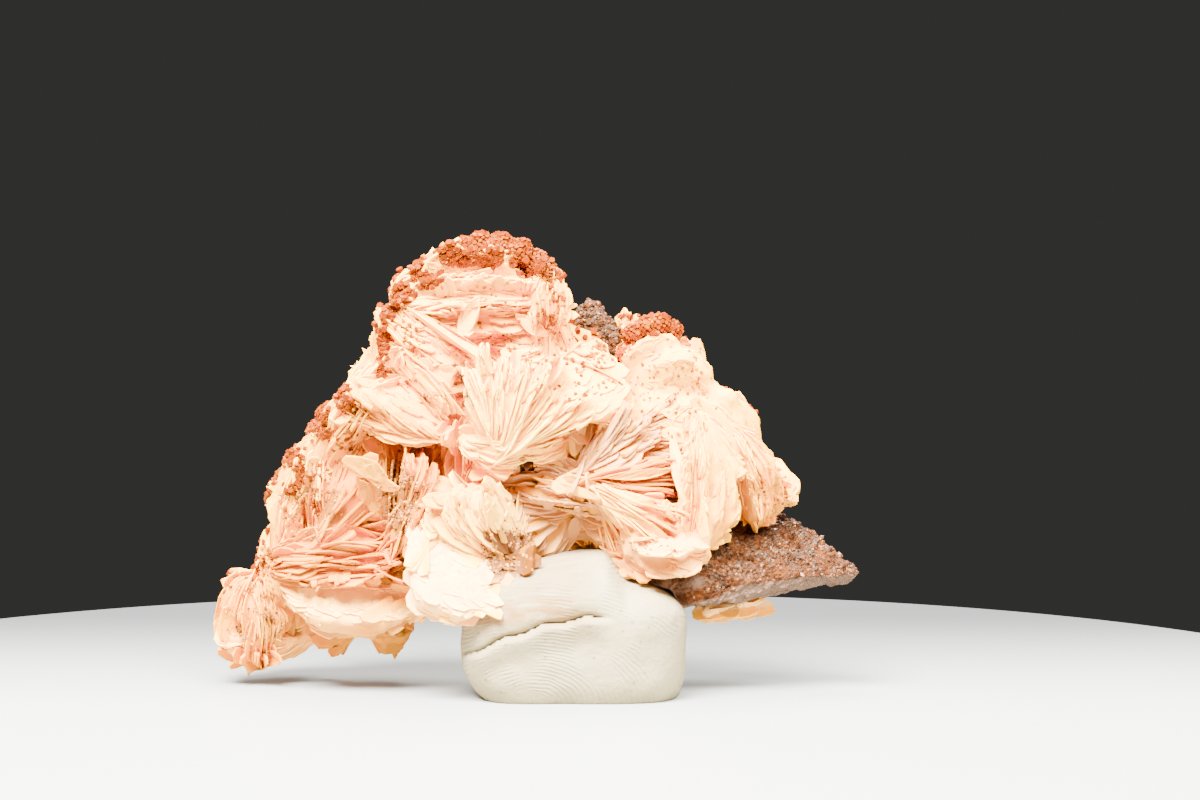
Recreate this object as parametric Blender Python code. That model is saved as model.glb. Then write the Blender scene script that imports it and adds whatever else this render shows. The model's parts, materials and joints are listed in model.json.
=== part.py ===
"""Vanadinite on barite, a hand specimen of bladed barite sprays grown over brown rock, with crusts of
vanadinite crystals, propped on the lump of putty that holds it up.

Blender 4.5, metres, +Z up. The origin is on the table, on the flat of the putty, under the middle of
the specimen. -Y is the broken face that shows the blades edge on. +Y is the back, where the crystals
grew outwards. Sizes and places in this file are millimetres, and MM turns them into metres.
"""

import math
import random
from collections import namedtuple

import bmesh
import bpy
from mathutils import Matrix, Vector, noise

MM = 0.001
FIT_GAP = 0.4  # clearance that a neighbour's seat keeps round a piece
SEED = 11

# How a spray of blades stands: like an opened book, its spine at the root and its pages reaching out.
Spray = namedtuple("Spray", "root out spine reach breadth spread plates")

FRONT_SPRAYS = {
    "summit_dome": Spray((-10, 7, 65), (0, -0.75, 0.66), (1, 0, 0.05), 13, 29, 150, 6),
    "summit_right": Spray((0.5, 4, 66), (0.5, -0.85, 0), (0.12, 0, 1), 8, 14, 90, 3),
    "left_cheek": Spray((-21, 2, 60.5), (-0.95, -0.25, 0.1), (0.05, 0, 1), 7, 13, 35, 3),
    "cheek_blades": Spray((-14.5, 3, 59), (-0.35, -0.85, -0.4), (0.82, -0.1, -0.57), 9.5, 20, 75, 4),
    "feather": Spray((-22.5, -1, 54.5), (0.84, -0.38, -0.38), (0.25, -0.75, 0.6), 12, 9, 40, 4),
    "central_fan": Spray((-6.5, -6, 42.5), (0.42, -0.38, 0.83), (-0.1, -0.85, -0.45), 17.5, 11, 100, 8),
    "central_skirt": Spray((-4, -6, 43.5), (0.2, -0.85, -0.5), (1, 0, -0.15), 7.5, 18, 60, 3),
    "upper_sheet": Spray((3.5, -1, 55), (0.84, -0.25, -0.5), (0.52, 0.63, 0.57), 17, 15, 28, 3),
    "recess_fan": Spray((6, -1, 36.5), (0.82, -0.25, 0.5), (-0.1, -0.95, -0.25), 17, 11, 50, 4),
    "salmon_fan": Spray((9.5, -3, 36), (0.97, -0.2, 0.05), (-0.1, -0.95, 0.1), 15.5, 12, 36, 4),
    "lower_fan": Spray((9.5, -4, 34.5), (0.83, -0.3, -0.46), (-0.2, -0.93, 0.25), 18, 13, 42, 4),
    "right_pages": Spray((26.5, -1, 35), (0.45, -0.88, 0), (0.1, 0, 1), 9.5, 24, 95, 4),
    "right_lobe": Spray((34.5, 5, 35.5), (0.75, -0.62, -0.1), (0.45, 0.1, -0.9), 9, 20, 80, 4),
    "right_tip": Spray((38, 7, 36), (0.85, -0.1, -0.4), (0.4, 0.2, 0.9), 8, 9, 40, 3),
    "peak_top": Spray((20.5, 6, 53), (0.1, -0.15, 0.98), (0.97, 0.2, 0), 9.5, 12, 40, 3),
    "peak_mid": Spray((22.5, 4, 49), (0.6, -0.2, 0.75), (0.77, 0.15, -0.6), 10.5, 13, 36, 3),
    "peak_low": Spray((28, 5, 44.5), (0.85, -0.2, 0.45), (0.45, 0.15, -0.87), 9, 14, 40, 3),
    "left_sweep": Spray((-15.5, -2, 46.5), (-0.93, -0.25, 0.2), (-0.1, -0.8, -0.55), 19, 11, 34, 4),
    "left_shoulder": Spray((-28.5, 1, 45), (-0.6, -0.55, 0.55), (0.7, 0, 0.7), 8, 18, 90, 4),
    "high_shoulder": Spray((-26, 2, 52), (-0.6, -0.6, 0.5), (0.55, 0, 0.83), 6.5, 14, 90, 3),
    "left_flank": Spray((-39, 3, 33.5), (-0.75, -0.62, 0.2), (0.35, 0, 0.93), 6.5, 21, 90, 4),
    "diagonal_fan": Spray((-38, -1, 24.5), (0.62, -0.25, 0.74), (0.1, -0.95, -0.3), 15, 9, 36, 4),
    "yellow_blade": Spray((-26.5, -3, 28.5), (-0.12, -0.4, 0.9), (0.93, -0.25, 0), 13, 7, 14, 2),
    "ochre_fan": Spray((-25, -3, 24.5), (0.42, -0.28, 0.86), (0.1, -0.93, -0.35), 18, 10, 34, 4),
    "upright_pages": Spray((-10, 2, 39.5), (0, -1, -0.1), (0.06, -0.05, 1), 8, 11, 130, 4),
    "low_fan": Spray((-3.5, -8, 27), (-0.78, -0.42, 0.46), (-0.3, -0.75, -0.55), 16, 11, 75, 6),
    "low_disc": Spray((-9.5, -12, 25.5), (-0.5, -0.42, -0.76), (0.86, -0.2, -0.3), 16.5, 20, 22, 3),
    "left_disc": Spray((-31, -2, 17.5), (-0.1, -0.5, -0.85), (1, 0, -0.1), 9, 23, 40, 3),
    "level_pages": Spray((-34, 1, 22), (0, -0.97, 0.22), (1, 0, 0.03), 9, 21, 90, 4),
    "foot": Spray((-48, 8, 12), (-0.45, -0.85, -0.2), (0.15, 0, 1), 8, 15, 150, 5),
    "toe": Spray((-47.5, 9, 9.5), (0, -0.6, -0.8), (1, 0, 0), 7.5, 16, 80, 3),
    "prow": Spray((4, -2, 32), (0, -0.8, 0.6), (0.95, 0, -0.3), 8, 16, 80, 4),
    "chin": Spray((19.5, -4, 23.5), (0, -0.5, -0.86), (1, 0, -0.2), 6, 14, 70, 3),
    "skirt": Spray((22, -6, 27), (0.05, -0.75, -0.66), (1, 0, -0.12), 9.5, 15, 80, 3),
    "under_left": Spray((-36, 12, 12), (0, -0.2, -1), (0.9, -0.3, 0), 8, 11, 120, 3),
    "under_mid": Spray((-26, 11, 12), (0.1, -0.2, -1), (0.9, 0.3, 0), 7.5, 9, 120, 3),
}

# The small lump of barite that hangs under the rock.
HANGING_SPRAYS = {
    "hanging_left": Spray((31.5, 1, 17.5), (-0.35, -0.35, -0.9), (0.9, -0.2, 0.1), 6.5, 8, 110, 4),
    "hanging_right": Spray((35, 2, 17.5), (0.35, -0.3, -0.9), (0.9, 0.25, -0.1), 5.5, 8, 110, 3),
}

# The barite's solid middle, as lumps: centre and half sizes.
CORE_LUMPS = {
    "summit": ((-10, 8, 65), (11.5, 10, 9)),
    "cheek": ((-16, 8, 55), (10, 11, 9)),
    "neck": ((-2, 8, 58), (9, 9, 8)),
    "middle": ((-4, 8, 43), (20, 14, 15)),
    "right": ((24, 9, 40), (15, 12, 15)),
    "peak": ((22, 9, 52), (8, 8, 9)),
    "left": ((-29.5, 9, 34), (12.5, 13, 14)),
    "belly": ((-8, 3, 27), (17, 12, 10)),
    "lower_left": ((-34, 8, 21), (14, 11, 9)),
    "foot": ((-47, 10, 12), (7.5, 8, 7)),
    "lower_right": ((18, 3, 28), (14, 9, 7)),
}

# The back is covered by domed sprays, one at each crossing of a skewed grid.
BACK_SPACING = 13.5
BACK_REACH = 9.0
BACK_BREADTH = 15.0
BACK_PLATES = 3
BACK_SINK = 5.0
BACK_LEFT, BACK_RIGHT = -48, 36
BACK_LOW, BACK_HIGH = 13, 72
BACK_SPREAD = 110
BACK_HUB = (-5, -6, 34)  # the place that the back's sprays face away from

# A spray runs along its spine through stations: place along half the breadth, and share of the reach.
FRONT_STATIONS = ((-1, 0.5), (-0.4, 1), (0.4, 0.97), (1, 0.45))
BACK_STATIONS = ((-1, 0.45), (0, 1), (1, 0.5))
PLATE_EDGE = 0.8
EDGE_SHARE = 0.6  # the most of the room between two plates' edges that an edge fills

FLAT_ANGLE = 1.0  # degrees between faces that count as one
MOST_TRIANGLES = {"barite_blades": 6300, "barite_under_rock": 160, "matrix_rock": 700}
TRIANGLES_PER_CRYSTAL = 36

BOOK_VALLEY = 0.55  # how far out the valley between two plates is, as a share of the reach
BOOK_HEEL = 0.25

# The brown rock, as three blocks: the wedge at the right, the slab behind and the knob at the top.
ROCK_BLOCKS = {
    "wedge": [
        (56.4, 0, 20), (54.5, 3, 18), (24, -10, 14.5), (22, -9, 21.5), (39, -7, 19.6), (38, -6, 17),
        (44, 10, 29), (51, 5, 24.5), (30, 11, 31), (49, 12, 20), (32, 16, 14.5), (10, 14, 16), (8, -2, 19),
    ],
    "slab": [
        (38, 10, 26), (30, 17, 36), (18, 20, 52), (8, 20, 56), (2, 16, 52), (-2, 21, 34), (7, 19, 21),
        (30, 20, 21), (8, 6, 30), (24, 6, 30), (10, 8, 50), (36, 18, 24),
    ],
    "knob": [
        (5.5, 11, 64), (9, 14, 66.5), (14, 15, 62), (17, 13, 57), (13, 10, 62.5), (4, 18, 60), (12, 19, 60),
        (4, 8, 52), (16, 8, 52), (6, 20, 50), (16, 19, 50),
    ],
}
ROCK_CUTS = 2
ROCK_HEART = (20, 14, 30)
ROCK_ROUGHNESS = 1.1
ROCK_GRAIN = 6.0

# A crust of vanadinite, as crystals strung along the edge that it covers: place and half width.
CRUSTS = {
    "vanadinite_summit": [
        (-21, 6, 66.5, 2.2), (-18, 7, 70, 2.3), (-15.5, 7, 73, 2.3), (-12.5, 8, 75.2, 2.3),
        (-9.5, 7, 76.2, 2.2), (-6, 7, 76.1, 2.3), (-2.8, 7, 75, 2.3), (0, 8, 73, 2.3), (2, 8, 70.5, 2.2),
        (-17, 11, 71.5, 2.6), (-12.5, 12, 74, 2.6), (-8, 12, 75, 2.6), (-3.5, 12, 73.8, 2.6), (0.5, 12, 71, 2.6),
        (-7, 3.5, 75, 2.2), (-3, 3.5, 74.2, 2.2), (0, 4.5, 72, 2.2), (-14, 16, 70.5, 2.6), (-9, 16, 72, 2.7),
        (-4, 16, 71, 2.6),
    ],
    "vanadinite_cheek": [
        (-24.8, 7, 61.5, 2.2), (-25, 6, 58.7, 2.2), (-25.2, 5.6, 55.6, 2.2), (-24.2, 10.5, 61.5, 2.4),
        (-24.4, 10, 58, 2.4),
    ],
    "vanadinite_shoulder": [
        (-32.2, 6, 49.4, 2.1), (-29, 7, 51.3, 2.1), (-35.6, 6, 46.8, 2.2), (-37.6, 6, 43.8, 2.2),
        (-32.5, 10, 49.2, 2.5), (-36, 10, 46, 2.5), (-28.5, 10.5, 51.5, 2.3), (-38.6, 8, 41, 2.1),
        (-37, 13, 43, 2.5),
    ],
    "vanadinite_flank": [
        (-42.3, 6, 36.8, 2.0), (-44.4, 6, 34, 2.0), (-45, 9, 32, 2.2), (-41.8, 9.5, 38, 2.2),
        (-43.5, 12.5, 35, 2.4), (-41, 14, 37.5, 2.4), (-44.3, 13, 30.5, 2.2),
    ],
    "vanadinite_peak": [
        (16.5, 7, 60.6, 1.8), (19, 7, 61.9, 1.9), (21.5, 7, 62.4, 1.9), (23.5, 8, 61.2, 1.8),
        (20, 10, 61.6, 2.2), (22.5, 11, 60, 2.1),
    ],
}
CRYSTAL_SIDES = 6
CRYSTAL_WIDTH = 1.1
CRYSTAL_LENGTH = 1.9
CRYSTAL_TIP = 0.8

# The putty, as a pinched round block.
PUTTY_CENTRE = (6.5, -3, 9)
PUTTY_HALF = (19, 17, 12.5)
PUTTY_SQUARENESS = 0.5
PUTTY_CUTS = 6
PUTTY_SHOULDER = 2.5  # how far the middle of the lump's top is pressed up into the specimen
PUTTY_TILT = 2.5  # how much lower the lump's left shoulder is than its middle
PUTTY_SAG = 4.6  # how much lower its top is at the right, beside the pinched flap
PUTTY_SAG_ACROSS = (11.5, 16)  # where across the lump the sag starts and is full
PUTTY_SAG_UP = (11, 24)  # the heights at which it starts and is full


def object_of(name, shape, colour, roughness):
    """A new object from a bmesh in millimetres, with its own material."""
    bmesh.ops.triangulate(shape, faces=shape.faces)
    bmesh.ops.scale(shape, vec=(MM, MM, MM), verts=shape.verts)
    mesh = bpy.data.meshes.new(name)
    shape.to_mesh(mesh)
    shape.free()
    obj = bpy.data.objects.new(name, mesh)
    bpy.context.scene.collection.objects.link(obj)
    material = bpy.data.materials.new(name)
    material.use_nodes = True
    shader = material.node_tree.nodes["Principled BSDF"]
    shader.inputs["Base Color"].default_value = (*colour, 1.0)
    shader.inputs["Roughness"].default_value = roughness
    mesh.materials.append(material)
    return obj


def apply_modifier(obj, modifier):
    """Applies an object's only modifier, and drops the chips that it leaves."""
    depsgraph = bpy.context.evaluated_depsgraph_get()
    made = bpy.data.meshes.new_from_object(obj.evaluated_get(depsgraph))
    obj.modifiers.remove(modifier)
    obj.data = made
    keep_largest_shell(obj)


def apply_boolean(obj, other, operation):
    """Applies one exact Boolean of obj with another object."""
    modifier = obj.modifiers.new("combine", "BOOLEAN")
    modifier.operation = operation
    modifier.object = other
    modifier.use_self = operation == "UNION"
    apply_modifier(obj, modifier)


def keep_largest_shell(obj):
    """Keeps an object's largest shell, which leaves out sealed cells and loose chips."""
    shape = bmesh.new()
    shape.from_mesh(obj.data)
    unseen = set(shape.faces)
    shells = []
    while unseen:
        shell = []
        border = [unseen.pop()]
        while border:
            face = border.pop()
            shell.append(face)
            for edge in face.edges:
                for other in edge.link_faces:
                    if other in unseen:
                        unseen.discard(other)
                        border.append(other)
        shells.append(shell)
    shells.sort(key=len)
    for shell in shells[:-1]:
        bmesh.ops.delete(shape, geom=shell, context="FACES")
    bmesh.ops.triangulate(shape, faces=shape.faces)
    shape.to_mesh(obj.data)
    shape.free()


def fuse(obj, inside):
    """Joins an object's overlapping shells, by a union with a speck that one of them holds."""
    shape = bmesh.new()
    bmesh.ops.create_icosphere(shape, subdivisions=1, radius=0.2)
    bmesh.ops.translate(shape, verts=shape.verts, vec=inside)
    speck = object_of("speck", shape, (1, 1, 1), 1)
    apply_boolean(obj, speck, "UNION")
    bpy.data.objects.remove(speck)


def thin_out(obj, most):
    """Merges flat neighbours and then the smallest slivers of an object, down to a number of triangles."""
    shape = bmesh.new()
    shape.from_mesh(obj.data)
    bmesh.ops.dissolve_limit(shape, angle_limit=math.radians(FLAT_ANGLE), verts=shape.verts, edges=shape.edges)
    bmesh.ops.triangulate(shape, faces=shape.faces)
    count = len(shape.faces)
    shape.to_mesh(obj.data)
    shape.free()
    modifier = obj.modifiers.new("thin out", "DECIMATE")
    modifier.ratio = min(1.0, most / count)
    apply_modifier(obj, modifier)


def as_cutter(obj):
    """Turns an object into a guide that only cuts others."""
    obj.name += "_seat"
    obj.hide_render = True
    obj.display_type = "WIRE"
    return obj


def ellipsoid(shape, centre, half, rng):
    """Adds one lump of the core, its surface a little uneven."""
    made = bmesh.ops.create_icosphere(shape, subdivisions=2, radius=1.0)
    for vert in made["verts"]:
        swell = 1 + 0.12 * rng.uniform(-1, 1)
        vert.co = Vector([c + h * k * swell for c, h, k in zip(centre, half, vert.co)])


def book(shape, spray, stations, rng):
    """Adds one spray as an opened book: its cross-section zigzags from plate edge to valley, and it runs along
    the spine through the stations."""
    out = Vector(spray.out).normalized()
    spine = Vector(spray.spine)
    spine = (spine - out * spine.dot(out)).normalized()
    sections = []
    lengths = [rng.uniform(0.82, 1.05) for _ in range(spray.plates)]
    step = math.radians(spray.spread) / spray.plates
    angles = [step * (n + 0.5 - spray.plates / 2) for n in range(spray.plates)]
    for along, share in stations:
        centre = Vector(spray.root) + spine * (spray.breadth / 2 * along)
        ring = [centre - out * spray.reach * BOOK_HEEL]
        for n, (angle, length) in enumerate(zip(angles, lengths)):
            radial = Matrix.Rotation(angle, 3, spine) @ out
            room = step * spray.reach * share * min(lengths)
            across = spine.cross(radial) * min(PLATE_EDGE, room * EDGE_SHARE) / 2
            tip = centre + radial * spray.reach * share * length * rng.uniform(0.94, 1.05)
            ring += [tip - across, tip + across]
            if n < spray.plates - 1:
                valley = Matrix.Rotation(angle + step / 2, 3, spine) @ out
                ring.append(centre + valley * spray.reach * share * BOOK_VALLEY)
        sections.append([shape.verts.new(place) for place in ring])
    faces = [shape.faces.new(sections[0]), shape.faces.new(sections[-1])]
    for near, far in zip(sections, sections[1:]):
        for i, j in zip(range(len(near)), [*range(1, len(near)), 0]):
            faces.append(shape.faces.new((near[i], near[j], far[j], far[i])))
    bmesh.ops.recalc_face_normals(shape, faces=faces)


def back_depth(x, z):
    """How far back the core reaches at a place, or None beside the core."""
    depths = []
    for centre, half in CORE_LUMPS.values():
        room = 1 - ((x - centre[0]) / half[0]) ** 2 - ((z - centre[2]) / half[2]) ** 2
        if room > 0.12:
            depths.append(centre[1] + half[1] * math.sqrt(room))
    return max(depths) if depths else None


def back_sprays(rng):
    """Domed sprays over the back, each facing out from the core."""
    sprays = []
    row = 0
    z = BACK_LOW
    while z < BACK_HIGH:
        x = BACK_LEFT + (row % 2) * BACK_SPACING / 2
        while x < BACK_RIGHT:
            depth = back_depth(x, z)
            if depth is not None:
                out = Vector((x, depth, z)) - Vector(BACK_HUB)
                out = Vector((out.x / 2, out.y, out.z / 2)).normalized()
                turn = rng.uniform(0, math.pi)
                spine = Vector((math.cos(turn), 0, math.sin(turn)))
                root = Vector((x, depth, z)) - out * BACK_SINK
                reach = BACK_REACH * rng.uniform(0.9, 1.1)
                sprays.append(Spray(root, out, spine, reach, BACK_BREADTH, BACK_SPREAD, BACK_PLATES))
            x += BACK_SPACING
        z += BACK_SPACING * 0.85
        row += 1
    return sprays


def barite():
    """The barite: its core lumps and every spray, joined in one solid."""
    rng = random.Random(SEED)
    shape = bmesh.new()
    for centre, half in CORE_LUMPS.values():
        ellipsoid(shape, centre, half, rng)
    for spray in FRONT_SPRAYS.values():
        book(shape, spray, FRONT_STATIONS, rng)
    for spray in back_sprays(rng):
        book(shape, spray, BACK_STATIONS, rng)
    obj = object_of("barite_blades", shape, (0.93, 0.72, 0.55), 0.5)
    fuse(obj, CORE_LUMPS["middle"][0])
    return obj


def hanging_barite():
    """The small lump of barite under the rock."""
    rng = random.Random(SEED)
    shape = bmesh.new()
    for spray in HANGING_SPRAYS.values():
        book(shape, spray, BACK_STATIONS, rng)
    obj = object_of("barite_under_rock", shape, (0.93, 0.70, 0.60), 0.5)
    fuse(obj, HANGING_SPRAYS["hanging_left"].root)
    return obj


def rock(extra=0.0):
    """The brown rock: rough blocks that run into one another, pushed out by an extra width."""
    shape = bmesh.new()
    for corners in ROCK_BLOCKS.values():
        block = bmesh.new()
        for corner in corners:
            block.verts.new(corner)
        hull = bmesh.ops.convex_hull(block, input=block.verts)
        bmesh.ops.delete(block, geom=hull["geom_interior"], context="VERTS")
        bmesh.ops.subdivide_edges(block, edges=block.edges, cuts=ROCK_CUTS, use_grid_fill=True)
        bmesh.ops.triangulate(block, faces=block.faces)
        bmesh.ops.recalc_face_normals(block, faces=block.faces)
        block.normal_update()
        moves = [
            vert.normal * (extra + ROCK_ROUGHNESS * noise.noise(vert.co / ROCK_GRAIN)) for vert in block.verts
        ]
        for vert, move in zip(block.verts, moves):
            vert.co += move
        mesh = bpy.data.meshes.new("block")
        block.to_mesh(mesh)
        block.free()
        shape.from_mesh(mesh)
        bpy.data.meshes.remove(mesh)
    obj = object_of("matrix_rock", shape, (0.33, 0.20, 0.13), 0.8)
    fuse(obj, ROCK_HEART)
    return obj


def crust(name, extra=0.0):
    """A crust of short hexagonal vanadinite crystals, each overlapping the next."""
    rng = random.Random(name)
    shape = bmesh.new()
    for x, y, z, half in CRUSTS[name]:
        turn = Matrix.Rotation(rng.uniform(0, math.pi), 4, Vector((rng.uniform(-1, 1), rng.uniform(-1, 1), 1)))
        width = half * CRYSTAL_WIDTH
        bmesh.ops.create_cone(
            shape,
            cap_ends=True,
            segments=CRYSTAL_SIDES,
            radius1=width + extra,
            radius2=width * CRYSTAL_TIP + extra,
            depth=width * CRYSTAL_LENGTH + 2 * extra,
            matrix=Matrix.Translation((x, y, z)) @ turn,
        )
    obj = object_of(name, shape, (0.78, 0.22, 0.05), 0.35)
    fuse(obj, CRUSTS[name][0][:3])
    thin_out(obj, TRIANGLES_PER_CRYSTAL * len(CRUSTS[name]))
    return obj


def smooth_step(low, high, value):
    """0 below low, 1 above high, and smooth between."""
    share = min(1.0, max(0.0, (value - low) / (high - low)))
    return share * share * (3 - 2 * share)


def putty(extra=0.0):
    """The lump of putty, flat where it stands and pinched up under the specimen."""
    shape = bmesh.new()
    bmesh.ops.create_cube(shape, size=2.0)
    bmesh.ops.subdivide_edges(shape, edges=shape.edges, cuts=PUTTY_CUTS, use_grid_fill=True)
    for vert in shape.verts:
        ball = vert.co.normalized()
        place = ball.lerp(vert.co, PUTTY_SQUARENESS)
        lift = max(0.0, ball.z) ** 2
        vert.co = Vector([c + (h + extra) * k for c, h, k in zip(PUTTY_CENTRE, PUTTY_HALF, place)])
        vert.co.z += PUTTY_SHOULDER * lift + PUTTY_TILT * ball.x * max(0.0, ball.z)
        vert.co.z -= PUTTY_SAG * smooth_step(*PUTTY_SAG_ACROSS, vert.co.x) * smooth_step(*PUTTY_SAG_UP, vert.co.z)
        vert.co.z = max(0.0, vert.co.z)
    return object_of("putty_stand", shape, (0.80, 0.77, 0.70), 0.85)


def main():
    for obj in list(bpy.data.objects):
        bpy.data.objects.remove(obj)
    putty()
    matrix = rock()
    for name in CRUSTS:
        crust(name)
    blades = barite()
    hanging = hanging_barite()
    putty_seat = as_cutter(putty(FIT_GAP))
    rock_seat = as_cutter(rock(FIT_GAP))
    crust_seats = [as_cutter(crust(name, FIT_GAP)) for name in CRUSTS]
    for seat in (putty_seat, *crust_seats):
        apply_boolean(matrix, seat, "DIFFERENCE")
    for seat in (putty_seat, rock_seat, *crust_seats):
        apply_boolean(blades, seat, "DIFFERENCE")
    apply_boolean(hanging, rock_seat, "DIFFERENCE")
    for name, most in MOST_TRIANGLES.items():
        thin_out(bpy.data.objects[name], most)


main()
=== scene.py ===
"""The looks of a hand specimen of vanadinite on barite: sprays of thin barite blades over brown rock,
crusts of orange vanadinite crystals, and the putty that props it up.

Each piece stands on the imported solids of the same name. -Y faces the viewer and shows the broken side,
where the blades are seen edge on. +Y is the grown side. Places in the tables are millimetres.
"""

import json
import math
import random
from collections import namedtuple

import bmesh
import bpy
from mathutils import Matrix, Vector, noise
from mathutils.bvhtree import BVHTree

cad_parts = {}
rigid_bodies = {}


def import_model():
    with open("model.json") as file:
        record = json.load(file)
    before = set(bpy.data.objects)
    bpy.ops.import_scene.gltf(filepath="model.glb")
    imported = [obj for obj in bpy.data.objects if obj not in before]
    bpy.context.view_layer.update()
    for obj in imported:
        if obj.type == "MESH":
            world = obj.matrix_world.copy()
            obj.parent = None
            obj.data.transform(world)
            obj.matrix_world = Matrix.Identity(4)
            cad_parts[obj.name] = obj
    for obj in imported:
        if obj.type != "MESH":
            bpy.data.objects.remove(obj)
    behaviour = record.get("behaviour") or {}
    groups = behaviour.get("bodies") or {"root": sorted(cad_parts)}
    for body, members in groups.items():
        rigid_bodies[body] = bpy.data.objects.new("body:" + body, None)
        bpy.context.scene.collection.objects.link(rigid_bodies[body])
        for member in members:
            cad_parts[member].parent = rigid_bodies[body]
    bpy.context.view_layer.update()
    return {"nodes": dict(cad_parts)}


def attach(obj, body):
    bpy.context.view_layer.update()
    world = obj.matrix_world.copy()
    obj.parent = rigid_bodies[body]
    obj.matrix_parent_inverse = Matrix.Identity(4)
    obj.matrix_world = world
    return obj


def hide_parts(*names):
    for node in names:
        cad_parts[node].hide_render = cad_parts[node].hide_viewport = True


bl_info = {
    "name": "Vanadinite on barite",
    "version": (1, 0, 0),
    "blender": (4, 5, 0),
    "location": "3D View > Sidebar > Specimen",
    "description": "Builds a specimen's blades, crystals, rock and putty on its packed solids",
    "category": "Add Mesh",
}

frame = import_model()
MM = 0.001
SPRAY_SEED = 11  # turns the sprays of the back
NOISE_SEED = 13  # fixes the noise vectors that bend the blades, which would else follow the clock

# How a spray of blades stands: like an opened book, its spine at the root and its pages reaching out.
Spray = namedtuple("Spray", "root out spine reach breadth spread tint")

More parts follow.
